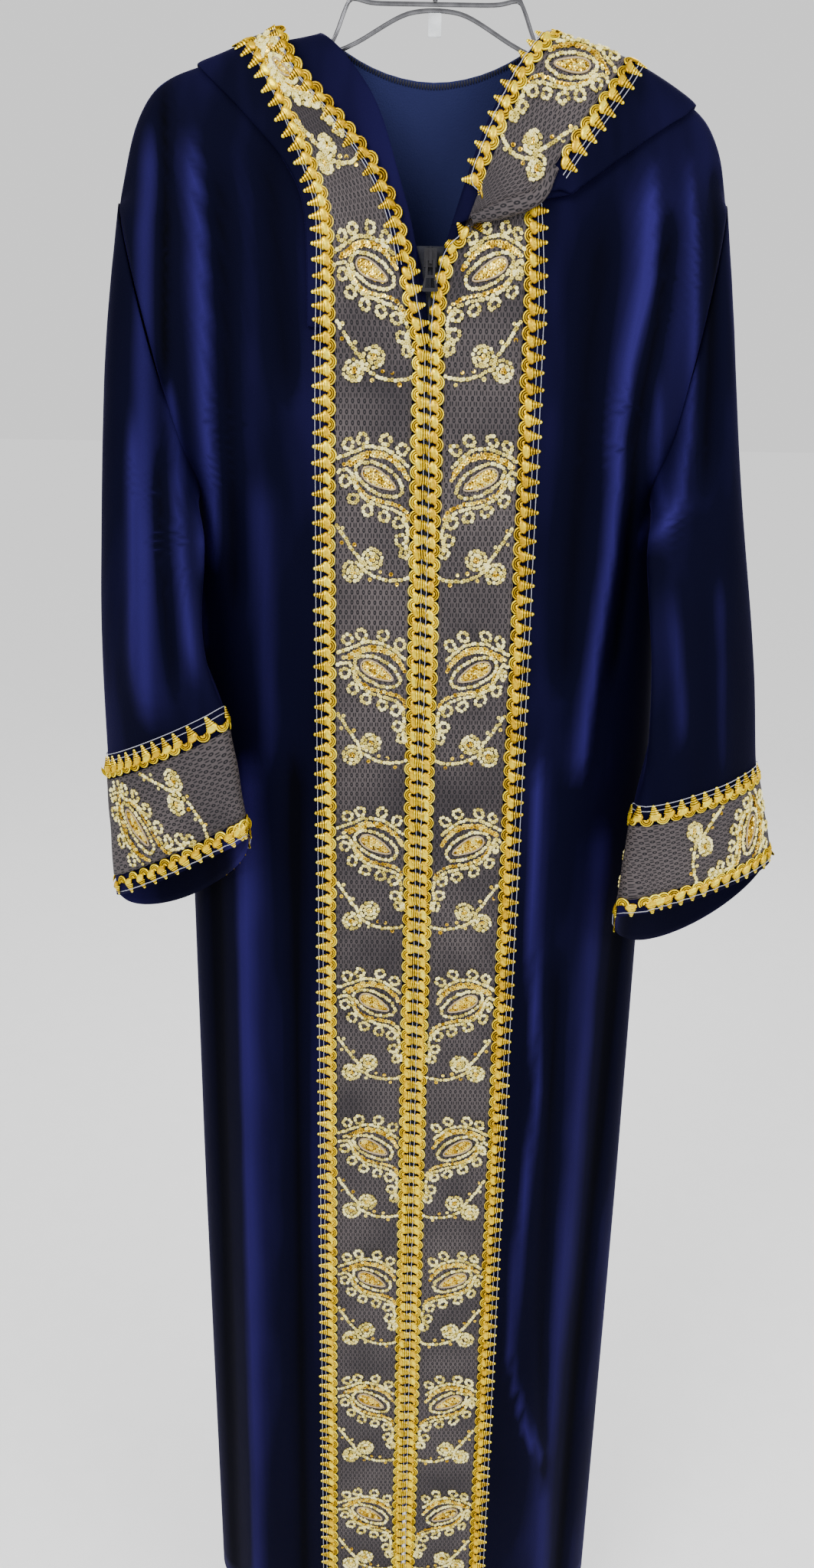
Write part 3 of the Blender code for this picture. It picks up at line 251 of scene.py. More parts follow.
class Band:
    """A lace band on the cloth: a grid of surface points along s and across a."""

    def __init__(self, rail_in, rail_out, cloth, closed=False, step_at=None, measured_at=0.5):
        self.closed = closed
        self.step = BAND_STEP / 2 if closed else BAND_STEP
        middle = rail_in + (rail_out - rail_in) * measured_at
        along = run_of(middle)
        self.length = along[-1]
        rows = max(int(round(self.length / self.step)), 2) + 1
        self.s = np.linspace(0, self.length, rows)
        self.a = np.linspace(BAND_FROM, BAND_TO, BAND_COLUMNS)
        low, high = read_along(along, rail_in, self.s), read_along(along, rail_out, self.s)
        flat = low[:, None] + (high - low)[:, None] * (self.a / LACE_WIDTH)[None, :, None]
        self.grid, outward = self.ringed(flat, cloth) if closed else self.snapped(flat, cloth)
        self.normals = self.turned(outward)
        if step_at is not None:
            self.ease_step(step_at)

    @staticmethod
    def snapped(flat, cloth):
        """The cloth's nearest points and normals."""
        grid, outward = np.zeros_like(flat), np.zeros_like(flat)
        for i, j in np.ndindex(flat.shape[:2]):
            grid[i, j], outward[i, j], _, _ = cloth.find_nearest(Vector(flat[i, j]))
        for _ in range(2):
            grid[1:-1] = eased(grid)
        return grid, outward

    def ringed(self, flat, cloth):
        """A ring's points on the sleeve's outer face, found by rays from outside, at even steps."""
        along = np.gradient(flat, axis=0)
        along[0] = along[-1] = flat[1] - flat[-2]
        away = unit(np.cross(np.gradient(flat, axis=1), along))
        away *= np.sign(((flat - flat.mean(axis=0)) * away).sum(axis=2).mean())
        grid = np.zeros_like(flat)
        for i, j in np.ndindex(flat.shape[:2]):
            start, ahead = Vector(flat[i, j] + away[i, j] * RING_START), Vector(-away[i, j])
            place = cloth.ray_cast(start, ahead, 2.5 * RING_START)[0]
            grid[i, j] = cloth.find_nearest(start)[0] if place is None else place
        grid[-1] = grid[0]
        grid[1:-1] = grid[1:-1] * 0.6 + (grid[:-2] + grid[2:]) * 0.2
        grid += away * RING_EASE
        run = run_of(grid[:, len(self.a) // 2])
        self.length = run[-1]
        self.s = np.linspace(0, self.length, len(run))
        for values in (grid, away):
            for j in range(values.shape[1]):
                values[:, j] = read_along(run, values[:, j], self.s)
        return grid, away

    def bridge(self, s_from, s_to):
        """Draws the rows between two places as one smooth sweep."""
        i0, i1 = (int(round(s / self.length * (len(self.s) - 1))) for s in (s_from, s_to))
        steps = i1 - i0
        f = (np.arange(1, steps) / steps)[:, None, None]
        start, end = self.grid[i0], self.grid[i1]
        before = (start - self.grid[i0 - 3]) / 3 * steps
        after = (self.grid[i1 + 3] - end) / 3 * steps
        self.grid[i0 + 1:i1] = ((2 * f ** 3 - 3 * f ** 2 + 1) * start
                                + (f ** 3 - 2 * f ** 2 + f) * before
                                + (3 * f ** 2 - 2 * f ** 3) * end + (f ** 3 - f ** 2) * after)
        f = smoothstep(f)
        self.normals[i0 + 1:i1] = unit(self.normals[i0] * (1 - f) + self.normals[i1] * f)
        self.grid[i0 + 1:i1] += self.normals[i0 + 1:i1] * (NOTCH_LIFT * np.sin(np.pi * f))

    def ease_step(self, step_at):
        """The band passes over the edge of the layer under it in a slope."""
        near = np.exp(-((self.s - step_at) / STEP_REACH) ** 2)[:, None, None]
        for _ in range(STEP_ROUNDS):
            self.grid[1:-1] += (eased(self.grid) - self.grid[1:-1]) * near[1:-1]
        self.grid += self.normals * STEP_LIFT * near
        self.normals = self.turned(self.normals)

    def turned(self, outward):
        down = np.gradient(self.grid, axis=0)
        if self.closed:
            down[0] = down[-1] = self.grid[1] - self.grid[-2]
        across = np.gradient(self.grid, axis=1)
        normal = np.cross(across, down)
        normal /= np.maximum(np.linalg.norm(normal, axis=2, keepdims=True), 1e-12)
        flip = np.sign((normal * outward).sum(axis=2).mean())
        return normal * flip

    def at(self, s, a):
        """Points, normals and directions across and along at arrays of s and a."""
        s, a = np.broadcast_arrays(np.asarray(s, float), np.asarray(a, float))
        if self.closed:
            s = np.mod(s, self.length)
        i = np.clip(s / self.length * (len(self.s) - 1), 0, len(self.s) - 1.001)
        j = (a - self.a[0]) / (self.a[-1] - self.a[0]) * (len(self.a) - 1)
        i0 = i.astype(int)
        j0 = np.clip(j.astype(int), 0, len(self.a) - 2)
        fi, fj = (i - i0)[..., None], (j - j0)[..., None]

        def mix(values):
            top = values[i0, j0] * (1 - fj) + values[i0, j0 + 1] * fj
            low = values[i0 + 1, j0] * (1 - fj) + values[i0 + 1, j0 + 1] * fj
            return top * (1 - fi) + low * fi

        place = mix(self.grid)
        normal = unit(mix(self.normals))
        down = self.grid[i0 + 1, j0] - self.grid[i0, j0]
        across = unit(np.cross(down, normal))
        side = self.grid[i0, j0 + 1] - self.grid[i0, j0]
        across *= np.sign((across * side).sum(-1, keepdims=True))
        down = unit(down - normal * (down * normal).sum(-1, keepdims=True))
        return place, normal, across, down


def fine_rail(points, count, closed):
    if closed:
        points = np.vstack([points, points[:1]])
    keys = run_of(points)
    return curve_through(keys, points, np.linspace(0, keys[-1], count), closed)


def paired_rails(rail_in, rail_out, closed):
    """Both rails with as many points, each pair facing each other across the band."""
    near, far = fine_rail(rail_in, RAIL_POINTS, closed), fine_rail(rail_out, FINE_POINTS, closed)
    partner = np.array([np.argmin(((far - p) ** 2).sum(axis=1)) for p in near], float)
    if closed:
        even, half = np.linspace(0, FINE_POINTS, RAIL_POINTS), FINE_POINTS // 2
        partner = np.where(partner - even > half, partner - FINE_POINTS, partner)
        partner = np.where(partner - even < -half, partner + FINE_POINTS, partner)
    last = FINE_POINTS - 1
    partner[0], partner[-1] = 0, last
    partner = np.maximum.accumulate(partner)
    padded = np.pad(partner, PARTNER_EVEN, "edge")
    window = 2 * PARTNER_EVEN + 1
    partner = np.convolve(padded, np.ones(window) / window, "valid")
    partner[0], partner[-1] = 0, last
    return near, read_along(np.arange(FINE_POINTS), far, partner)


def level_rails(rails):
    """Both rails of an upright band with as many points, each pair at one height."""
    fine = [fine_rail(rail, RAIL_POINTS, False) for rail in rails]
    heights = np.linspace(min(rail[:, 2].max() for rail in fine),
                          max(rail[:, 2].min() for rail in fine), RAIL_POINTS)
    return [read_along(rail[order, 2], rail[order], heights)
            for rail, order in ((rail, np.argsort(rail[:, 2])) for rail in fine)]


def curve_through(keys, points, wanted, closed):
    """Smooth curve through points at their keys, read at the wanted keys."""
    n = len(keys)
    out = np.zeros((len(wanted), 3))
    for row, key in enumerate(wanted):
        i = min(max(int(np.searchsorted(keys, key)) - 1, 0), n - 2)
        f = (key - keys[i]) / max(keys[i + 1] - keys[i], 1e-9)
        p1, p2 = points[i], points[i + 1]
        if closed:
            p0, p3 = points[i - 1] if i else points[-2], points[i + 2] if i + 2 < n else points[1]
        else:
            p0, p3 = points[max(i - 1, 0)], points[min(i + 2, n - 1)]
        out[row] = p1 + 0.5 * f * (p2 - p0 + f * (2 * p0 - 5 * p1 + 4 * p2 - p3
                                                  + f * (3 * (p1 - p2) + p3 - p0)))
    return out


# Small things laid along a band

TUBE_SIDES = 4


class Batch:
    """Collects copies of small shapes into one mesh, with a random shade value for each copy, to which
    each point's painted shade and highlight is added.
    """

    def __init__(self):
        self.points, self.faces, self.shades = [], [], []
        self.count = 0

    def stamp(self, shape, places, axes, sizes, shades):
        """Copies of a shape: its x runs along axes[0], y along axes[1], z along axes[2]."""
        points, faces, painted_shading = shape
        n, m = len(places), len(points)
        sizes = np.asarray(sizes, float).reshape(-1, 1, 1)
        local = points[None] * sizes
        world = places[:, None] + sum(local[..., k:k + 1] * axes[k][:, None] for k in range(3))
        self.points.append(world.reshape(-1, 3))
        offsets = self.count + m * np.arange(n)[:, None, None]
        self.faces.append((faces[None] + offsets).reshape(-1, 3))
        # each point's painted shade and highlight is added to its copy's shade
        self.shades.append((np.broadcast_to(shades, n)[:, None] + painted_shading[None]).reshape(-1))
        self.count += n * m

    def add_tube(self, line, radius, up):
        """A four-sided tube round a line of points."""
        ahead = unit(np.gradient(line, axis=0))
        side = unit(np.cross(ahead, np.broadcast_to(up, ahead.shape)))
        over = np.cross(side, ahead)
        turn = (2 * np.pi * (np.arange(TUBE_SIDES) + 0.5) / TUBE_SIDES)[None, :, None]
        ring = side[:, None] * np.cos(turn) + over[:, None] * np.sin(turn)
        self.points.append((line[:, None] + ring * radius).reshape(-1, 3))
        self.faces.append(tris(grid_faces(len(line), TUBE_SIDES, True)) + self.count)
        self.shades.append(np.full(len(line) * TUBE_SIDES, 0.5))
        self.count += len(line) * TUBE_SIDES

    def build(self, name):
        mesh = bpy.data.meshes.new(name)
        mesh.from_pydata(np.vstack(self.points), [], np.vstack(self.faces))
        tone_and_painted_shade = mesh.attributes.new("tone_and_painted_shade", "FLOAT", "POINT")
        tone_and_painted_shade.data.foreach_set("value", np.concatenate(self.shades))
        mesh.validate()
        return new_object(name, mesh)


def turned_shape(profile, sides):
    """A shape turned about its z axis from rows of radius, height and a tone that paints its shade and
    highlight, the last row closed.
    """
    turn = [2 * math.pi * k / sides for k in range(sides)]
    points = [(r * math.cos(angle), r * math.sin(angle), h) for r, h, _ in profile for angle in turn]
    last = (len(profile) - 1) * sides
    faces = grid_faces(len(profile), sides, True) + [[last + k for k in range(sides)]]
    return np.array(points, float), tris(faces), np.repeat([painted_tone for _, _, painted_tone in profile], sides)


# Rows of radius, height and painted tone: a bead darker at its base and in its dimple and lighter on
# top, a sequin darker at its middle
BEAD = turned_shape(((0.95, 0.0, -0.5), (1.05, 0.45, -0.1), (0.66, 1.0, 0.25), (0.24, 0.72, -0.35)), 6)
SEQUIN = turned_shape(((1.0, 0.30, 0.1), (0.45, 0.12, 0.0), (0.14, 0.20, -0.7)), 8)


# One repeat of the embroidery, in mm: across from the lace's inner edge, down from the eye

EYE_CENTRE = (24.0, 0.5)
EYE_TILT = 28.0           # degrees, its inner end lower
EYE_RING = (20.0, 10.0)   # half length and half width
EYE_INNER = (14.6, 7.8)
EYE_POINT = 0.55          # how far the eye's inner end is drawn to a point
UPPER_CORD = ((56.5, -14.5), (50.4, -16.7), (42.2, -20.0), (35.1, -23.2), (27.0, -23.4),
              (17.8, -21.4), (11.7, -17.7), (6.6, -14.0), (2.0, -10.0))
LOWER_CORD = ((56.5, -4.6), (49.5, -6.4), (44.5, -2.5), (42.6, 5.4), (36.6, 13.6), (28.5, 18.6),
              (19.9, 21.2), (11.7, 23.6), (5.6, 27.0), (2.2, 33.4), (1.2, 42.7), (2.5, 51.1),
              (1.5, 58.5))
UPPER_SEQUINS = ((51.4, -10.2), (42.2, -15.2), (34.1, -18.9), (24.9, -19.2), (15.8, -16.5),
                 (9.7, -12.1), (4.6, -6.5), (1.6, 0.0))
LOWER_SEQUINS = ((43.0, -1.0), (39.6, 7.2), (32.6, 13.2), (23.9, 16.6), (15.8, 18.2), (7.6, 20.5),
                 (2.6, 24.6), (1.2, 29.7))
ROSETTES = ((48.4, -25.2), (37.2, -29.3), (19.3, -28.8), (6.1, -21.6), (50.4, 2.2), (44.0, 15.2),
            (33.0, 23.6), (19.8, 28.4), (8.4, 32.8), (6.6, 46.0), (3.0, 56.0))
ROSETTE_R = 3.8
BLOSSOMS = ((29.0, 60.9), (44.4, 71.1))
BLOSSOM_RINGS = ((7.4, 17), (4.2, 10))    # radius and beads
UPPER_STEM = ((56.5, 36.2), (50.4, 45.5), (44.3, 54.8), (39.2, 61.3), (37.0, 68.5))
LOWER_STEM = ((35.6, 69.7), (27.0, 74.6), (17.8, 77.1), (6.6, 77.1), (0.5, 75.3))
LONE_SEQUINS = ((51.9, 37.6), (53.4, 48.2), (43.0, 50.4), (30.5, 76.8), (22.4, 71.4),
                (14.3, 72.9), (8.7, 80.6))
BEAD_STEP = 2.45
BEAD_R = 1.56
SEQUIN_STEP = 2.5
SEQUIN_R = 1.60
SECOND_ROW = (-0.4, 2.4)  # the upper sequins' second row lies this far from the first
CUFF_CLOSE = 0.80         # the cuffs' repeats stand closer


def even_points(line, step):
    """Points at an even step along a smooth curve through a short list of points."""
    line = np.array(line, float)
    flat = np.column_stack([line, np.zeros(len(line))])
    keys = run_of(line)
    fine = curve_through(keys, flat, np.linspace(0, keys[-1], 120), False)[:, :2]
    run = run_of(fine)
    return read_along(run, fine, np.linspace(0, run[-1], max(int(round(run[-1] / step)), 1) + 1))


def leaf(half_length, half_width, count, point=0.0):
    """Points round the eye's leaf shape, its inner end drawn to a point."""
    t = np.linspace(0, 2 * np.pi, 240)
    x = half_length * np.cos(t)
    y = half_width * np.sin(t) * (1.0 - point * 0.5 * (1.0 + np.cos(t)))
    line = np.column_stack([x, y])
    run = run_of(line)
    return eye_turned(*read_along(run, line, np.linspace(0, run[-1], count, endpoint=False)).T)


def eye_turned(x, y):
    tilt = math.radians(EYE_TILT)
    across = EYE_CENTRE[0] - (x * math.cos(tilt) - y * math.sin(tilt))
    down = EYE_CENTRE[1] + x * math.sin(tilt) + y * math.cos(tilt)
    return np.column_stack([across, down])


def ring(centre, radius, count, start=0.0):
    t = start + 2 * np.pi * np.arange(count) / count
    return np.column_stack([centre[0] + radius * np.cos(t), centre[1] + radius * np.sin(t)])


def eye_fill():
    """Sequins that fill the eye, in rows."""
    half_length, half_width = EYE_INNER[0] - 1.0, EYE_INNER[1] - 0.8
    kept = []
    for i in range(-6, 7):
        for j in range(-4, 5):
            x, y = 2.35 * (i + 0.5 * (j % 2)), 2.05 * j
            narrowed = half_width * (1.0 - EYE_POINT * 0.5 * (1.0 + x / half_length))
            if abs(x) < half_length and (x / half_length) ** 2 + (y / narrowed) ** 2 < 1.0:
                kept.append((x, y))
    return eye_turned(*np.array(kept).T)


def unit_beads():
    """Every bead of one repeat, across and down."""
    rows = [leaf(*EYE_RING, 38)]
    rows += [even_points(line, BEAD_STEP) for line in (UPPER_CORD, LOWER_CORD, UPPER_STEM, LOWER_STEM)]
    rows += [ring(centre, ROSETTE_R, 9, 0.4 * k) for k, centre in enumerate(ROSETTES)]
    rows += [ring(centre, radius, count, 0.3 * k) for k, centre in enumerate(BLOSSOMS)
             for radius, count in BLOSSOM_RINGS]
    return np.vstack(rows)


def unit_sequins():
    upper = even_points(UPPER_SEQUINS, SEQUIN_STEP)
    rows = [eye_fill(), upper, even_points(LOWER_SEQUINS, SEQUIN_STEP), np.array(LONE_SEQUINS),
            upper[2:-2] + np.array(SECOND_ROW)]
    rows += [ring(centre, 1.3, 3, 0.5) for centre in BLOSSOMS]
    return np.vstack(rows)


def lay_unit(band, s_eye, direction, beads, sequins, cords, rng, shift, s_from, s_to):
    """One repeat on a band, its eye at s_eye. direction is 1 where down runs with s."""
    close = CUFF_CLOSE if band.closed else 1.0
    for batch, points, shape, size, lift in (
            (beads, unit_beads(), BEAD, BEAD_R, 0.0013),
            (sequins, unit_sequins(), SEQUIN, SEQUIN_R, 0.0014)):
        spots = points + rng.normal(0, 0.16, points.shape)
        near_eye = np.exp(-((points[:, 1]) / 26.0) ** 4)
        outwards = shift * near_eye * np.clip((58.0 - points[:, 0]) / 12.0, 0, 1)
        a = (spots[:, 0] + outwards) * MM
        s = s_eye + direction * spots[:, 1] * MM * close
        tilt = rng.normal(0, 0.16, (len(a), 2))
        sizes = size * MM * rng.normal(1.0, 0.06, len(a))
        shades = rng.random(len(a))
        keep = (a > -0.001) & (a < LACE_WIDTH + 0.0008)
        if not band.closed:
            keep &= (s >= max(s_from, 0.002)) & (s < min(s_to, band.length - 0.002))
        if not keep.any():
            continue
        a, s, tilt = a[keep], s[keep], tilt[keep]
        place, normal, across, down = band.at(s, a)
        normal = unit(normal + across * tilt[:, :1] + down * tilt[:, 1:])
        across = unit(across - normal * (across * normal).sum(-1, keepdims=True))
        down = np.cross(normal, across)
        batch.stamp(shape, place + normal * lift, (across, down, normal), sizes[keep], shades[keep])
    inner = leaf(*EYE_INNER, 30, EYE_POINT)
    a = (inner[:, 0] + shift) * MM
    s = s_eye + direction * inner[:, 1] * MM * close
    if a.min() > 0 and (band.closed or (s.min() > s_from and s.max() < s_to)):
        place, normal, _, _ = band.at(np.append(s, s[0]), np.append(a, a[0]))
        cords.add_tube(place + normal * 0.0020, 0.0008, normal.mean(axis=0))


# Picot braid

# Share of a picot's length from its base, half width in mm, tone: painted shade in each groove, painted
# highlight on each rib
OUTER_RIBS = ((0.0, 3.9, -0.5), (0.08, 4.4, 0.35), (0.18, 3.4, -0.9), (0.27, 3.55, 0.3),
              (0.38, 2.6, -0.9), (0.47, 2.8, 0.3), (0.58, 1.95, -0.9), (0.67, 2.15, 0.3),
              (0.77, 1.35, -0.8), (0.86, 1.5, 0.3), (0.95, 1.1, 0.3), (1.0, 0.4, 0.0))
INNER_RIBS = ((0.0, 4.2, -0.5), (0.10, 4.6, 0.35), (0.25, 3.9, -0.9), (0.38, 4.2, 0.3),
              (0.53, 3.5, -0.9), (0.67, 3.7, 0.3), (0.81, 2.8, -0.8), (0.92, 3.0, 0.3), (1.0, 1.9, 0.0))
# Share of a scallop's radius, height in mm, tone: painted shade between its cords, painted highlight on
# them
LOBE_RINGS = ((0.0, 1.7, -0.2), (0.32, 1.8, 0.1), (0.46, 1.0, -0.85), (0.61, 1.7, 0.2),
              (0.74, 0.9, -0.85), (0.88, 1.5, 0.4), (1.0, 0.7, 0.1), (1.02, 0.0, -0.8))
LOBE_R = 5.9
LOBE_TURNS = 10
LOBE_ARC = (74, 286)      # degrees
CONE_SIDES = 6
CONE_FLAT = 0.60          # height of a picot over its half width
# Rows of radius, height and painted tone: darker at its base, lighter on top
KNOT = ((1.0, 0.2, -0.5), (0.95, 0.85, -0.1), (0.72, 1.5, 0.15), (0.32, 1.85, 0.3))
KNOT_SIZE = (3.3, 5.5)    # half width across and along the braid, in mm
KNOT_TURN = 0.32          # each bundle lies a little slantwise, as in a twisted cord


def open_shape(points, rows, cols):
    """An open surface over rows of points, each row with its tone of painted shade and highlight."""
    faces = [(a, d, c, b) for a, b, c, d in grid_faces(len(rows), cols)]
    return np.array(points), tris(faces), np.repeat([painted_tone for _, _, painted_tone in rows], cols)


def cone_shape(length, ribs):
    """Ribbed half cone, x along its length in mm, z up."""
    angles = np.linspace(0, np.pi, CONE_SIDES)
    return open_shape([(share * length, half * math.cos(angle), CONE_FLAT * half * math.sin(angle))
                       for share, half, _ in ribs for angle in angles], ribs, CONE_SIDES)


def lobe_shape():
    """A scallop of cords bent round each other, on the braid's edge towards the lace."""
    angles = np.radians(np.linspace(*LOBE_ARC, LOBE_TURNS))
    return open_shape([(LOBE_R * share * math.cos(angle), LOBE_R * share * math.sin(angle), height)
                       for share, height, _ in LOBE_RINGS for angle in angles], LOBE_RINGS, LOBE_TURNS)


def knot_shape():
    """The shiny satin bundle in the middle of each step."""
    points, faces, painted_shading = turned_shape(KNOT, 10)
    points = points * np.array((*KNOT_SIZE, 1.0))
    cos, sin = math.cos(KNOT_TURN), math.sin(KNOT_TURN)
    turned = np.column_stack([points[:, 0] * cos - points[:, 1] * sin,
                              points[:, 0] * sin + points[:, 1] * cos, points[:, 2]])
    return turned, faces, painted_shading


def lay_braid(batch, band, core, side, base, length, ribs, rng, s_from=0.0, s_to=None, lift=0.0005,
              shade_and_underside=0.0):
    """A braid along a band, its middle at a = core; side is 1 where the picots point outwards."""
    s_to = band.length if s_to is None else s_to
    steps = max(int(round((s_to - s_from) / PICOT)), 1)
    pitch = (s_to - s_from) / steps
    s = s_from + pitch * np.arange(steps)
    for shape, offset, at, shades, height in (
            (cone_shape(length, ribs), 0.5, base, (0.55, 0.9), lift),
            (lobe_shape(), 0.0, core - side * 0.0006, (0.45, 0.85), 0.0004),
            (knot_shape(), 0.5, core + side * 0.0006, (0.28, 0.72), 0.0009)):
        run = s + offset * pitch
        a = np.full(steps, at) + rng.normal(0, 0.00015, steps)
        place, normal, across, down = band.at(run, a)
        away = unit(across * side + down * rng.normal(0, 0.07, (steps, 1)))
        along = np.cross(normal, away)
        sizes = MM * rng.normal(1.0, 0.03, steps)
        # lowered by painted shade on the left front's outer braid and by the darker underside of the
        # turned-over braid
        batch.stamp(shape, place + normal * height, (away, along, normal), sizes,
                    rng.uniform(*shades, steps) - shade_and_underside)


def lay_thread(batch, band, a, lift, radius, s_from=0.0, s_to=None, wave=0.0):
    """A thin thread along a band."""
    s_to = band.length if s_to is None else s_to
    s = np.linspace(s_from, s_to, max(int((s_to - s_from) / 0.0056), 2))
    across = a + wave * np.sin(2 * np.pi * s / PICOT)
    place, normal, _, _ = band.at(s, across)
    batch.add_tube(place + normal * lift, radius, normal.mean(axis=0))


# Materials

def node_material(name, roughness, values=()):
    """A Principled material with its roughness and other constant values."""
    mat = bpy.data.materials.new(name)
    mat.use_nodes = True
    shader = mat.node_tree.nodes["Principled BSDF"]
    for socket, value in (("Roughness", roughness), *values):
        shader.inputs[socket].default_value = value
    return mat, mat.node_tree.nodes, mat.node_tree.links, shader


def noise_node(ns, links, scale, detail=2.0, stretch=None):
    source = ns.new("ShaderNodeTexCoord").outputs["Object"]
    noise = ns.new("ShaderNodeTexNoise")
    noise.inputs["Scale"].default_value = scale
    noise.inputs["Detail"].default_value = detail
    if stretch:
        mapping = ns.new("ShaderNodeMapping")
        mapping.inputs["Scale"].default_value = stretch
        links.new(source, mapping.inputs["Vector"])
        source = mapping.outputs["Vector"]
    links.new(source, noise.inputs["Vector"])
    return noise.outputs["Fac"]


def attribute_node(ns, name):
    node = ns.new("ShaderNodeAttribute")
    node.attribute_name = name
    return node.outputs["Fac"]


def maths_node(ns, links, operation, *values):
    """A Math node. Each value is a number or another node's output."""
    node = ns.new("ShaderNodeMath")
    node.operation = operation
    for socket, value in zip(node.inputs, values):
        if isinstance(value, (int, float)):
            socket.default_value = value
        else:
            links.new(value, socket)
    return node.outputs[0]


def ramp_node(ns, links, source, *stops):
    ramp = ns.new("ShaderNodeValToRGB")
    while len(ramp.color_ramp.elements) < len(stops):
        ramp.color_ramp.elements.new(0.5)
    for element, (place, colour) in zip(ramp.color_ramp.elements, stops):
        element.position = place
        element.color = (*colour, 1.0)
    links.new(source, ramp.inputs["Fac"])
    return ramp.outputs["Color"]


def bump_node(ns, links, height, strength, distance, normal=None):
    bump = ns.new("ShaderNodeBump")
    bump.inputs["Strength"].default_value = strength
    bump.inputs["Distance"].default_value = distance
    links.new(height, bump.inputs["Height"])
    if normal is not None:
        links.new(normal, bump.inputs["Normal"])
    return bump.outputs["Normal"]


def velvet(name, deep, middle, light, sheen, tint, roughness=0.75):
    """Cut pile: its tone mixes a cloudy random tone with painted highlights on the folds' crests and
    painted shade in their troughs, which each point of the cloth keeps.
    """
    mat, ns, links, shader = node_material(name, roughness, (
        ("Specular IOR Level", 0.03), ("Sheen Weight", sheen), ("Sheen Roughness", 0.30),
        ("Sheen Tint", (*tint, 1.0))))
    cloudy = noise_node(ns, links, 7.0, 4.0, (1.0, 1.0, 0.22))
    # the folds' painted highlights and shade, mixed into the cloudy tone
    mixed = maths_node(ns, links, "MULTIPLY_ADD", attribute_node(ns, "fold_shading"), FOLD_SHADING_SHARE, cloudy)
    colour = ramp_node(ns, links, mixed, (0.12, deep), (0.50, middle), (1.0, light))
    links.new(colour, shader.inputs["Base Color"])
    pile = noise_node(ns, links, 900.0)
    pile_brush_and_fold_shading = noise_node(ns, links, 22.0, 3.0, (1.0, 1.0, 0.35))
    first = bump_node(ns, links, pile_brush_and_fold_shading, 0.30, 0.004)
    links.new(bump_node(ns, links, pile, 0.45, 0.0006, first), shader.inputs["Normal"])
    return mat


def gold(name, stops, metallic, roughness, edge):
    """Metallic thread: each copy's random shade with the painted shade and highlight of its points, and
    a fine grain, pick the colour.
    """
    mat, ns, links, shader = node_material(name, roughness, (
        ("Metallic", metallic), ("Specular IOR Level", 0.12), ("Specular Tint", (*edge, 1.0))))
    grain = noise_node(ns, links, 620.0)
    tone_and_painted_shade = maths_node(ns, links, "MULTIPLY_ADD", attribute_node(ns, "tone_and_painted_shade"), 0.75, -0.12)
    mixed = maths_node(ns, links, "MULTIPLY_ADD", grain, 0.5, tone_and_painted_shade)
    links.new(ramp_node(ns, links, mixed, *stops), shader.inputs["Base Color"])
    links.new(bump_node(ns, links, grain, 0.4, 0.0004), shader.inputs["Normal"])
    return mat


MESH_ACROSS = 0.0046      # pitch of the lace's holes across the band, in metres
MESH_DOWN = 0.0040        # from one row of holes to the next


def lace_ground():
    """Net of rows of oval rings, and between them rows of short double bars, on a taupe ground."""
    mat, ns, links, shader = node_material("lace_ground", 0.7, (("Specular IOR Level", 0.25),))
    uv = ns.new("ShaderNodeUVMap")
    uv.uv_map = "band"
    split = ns.new("ShaderNodeSeparateXYZ")
    links.new(uv.outputs["UV"], split.inputs[0])

    def maths(operation, *values):
        return maths_node(ns, links, operation, *values)

    across = maths("DIVIDE", split.outputs["X"], MESH_ACROSS)
    down = maths("DIVIDE", split.outputs["Y"], MESH_DOWN)
    odd = maths("MODULO", maths("FLOOR", down), 2.0)
    shifted = maths("ADD", across, maths("MULTIPLY", odd, 0.5))
    x = maths("ABSOLUTE", maths("SUBTRACT", maths("FRACT", shifted), 0.5))
    y = maths("ABSOLUTE", maths("SUBTRACT", maths("FRACT", down), 0.5))
    oval = maths("SQRT", maths("ADD", maths("POWER", maths("DIVIDE", x, 0.24), 2.0),
                               maths("POWER", maths("DIVIDE", y, 0.46), 2.0)))
    ringed = maths("ABSOLUTE", maths("SUBTRACT", oval, 0.72))
    bar = maths("MAXIMUM", maths("MULTIPLY", maths("ABSOLUTE", maths("SUBTRACT", x, 0.19)), 3.6),
                maths("SUBTRACT", y, 0.06))
    hole = maths("ADD", maths("MULTIPLY", ringed, maths("SUBTRACT", 1.0, odd)),
                 maths("MULTIPLY", bar, odd))
    thread = noise_node(ns, links, 420.0)
    hole = maths("ADD", hole, maths("MULTIPLY", maths("SUBTRACT", thread, 0.5), 0.30))
    ground = ramp_node(ns, links, noise_node(ns, links, 14.0), (0.30, (0.030, 0.024, 0.027)),
                       (0.72, (0.080, 0.066, 0.067)))
    mask = ramp_node(ns, links, hole, (0.20, (0.0, 0.0, 0.0)), (0.50, (1.0, 1.0, 1.0)))
    blend = ns.new("ShaderNodeMix")
    blend.data_type = "RGBA"
    blend.inputs[6].default_value = (0.0020, 0.0018, 0.0040, 1.0)
    links.new(mask, blend.inputs[0])
    links.new(ground, blend.inputs[7])
    links.new(blend.outputs[2], shader.inputs["Base Color"])
    links.new(bump_node(ns, links, mask, 0.5, 0.0005), shader.inputs["Normal"])
    return mat


def plain(name, colour, roughness, metallic=0.0, grain=400.0, bump=0.15, alpha=None):
    values = [("Metallic", metallic)] + ([] if alpha is None else [("Alpha", alpha)])
    mat, ns, links, shader = node_material(name, roughness, values)
    fac = noise_node(ns, links, grain)
    lighter = tuple(min(c * 1.25, 1.0) for c in colour)
    darker = tuple(c * 0.8 for c in colour)
    links.new(ramp_node(ns, links, fac, (0.3, darker), (0.7, lighter)), shader.inputs["Base Color"])
    links.new(bump_node(ns, links, fac, bump, 0.0002), shader.inputs["Normal"])
    return mat


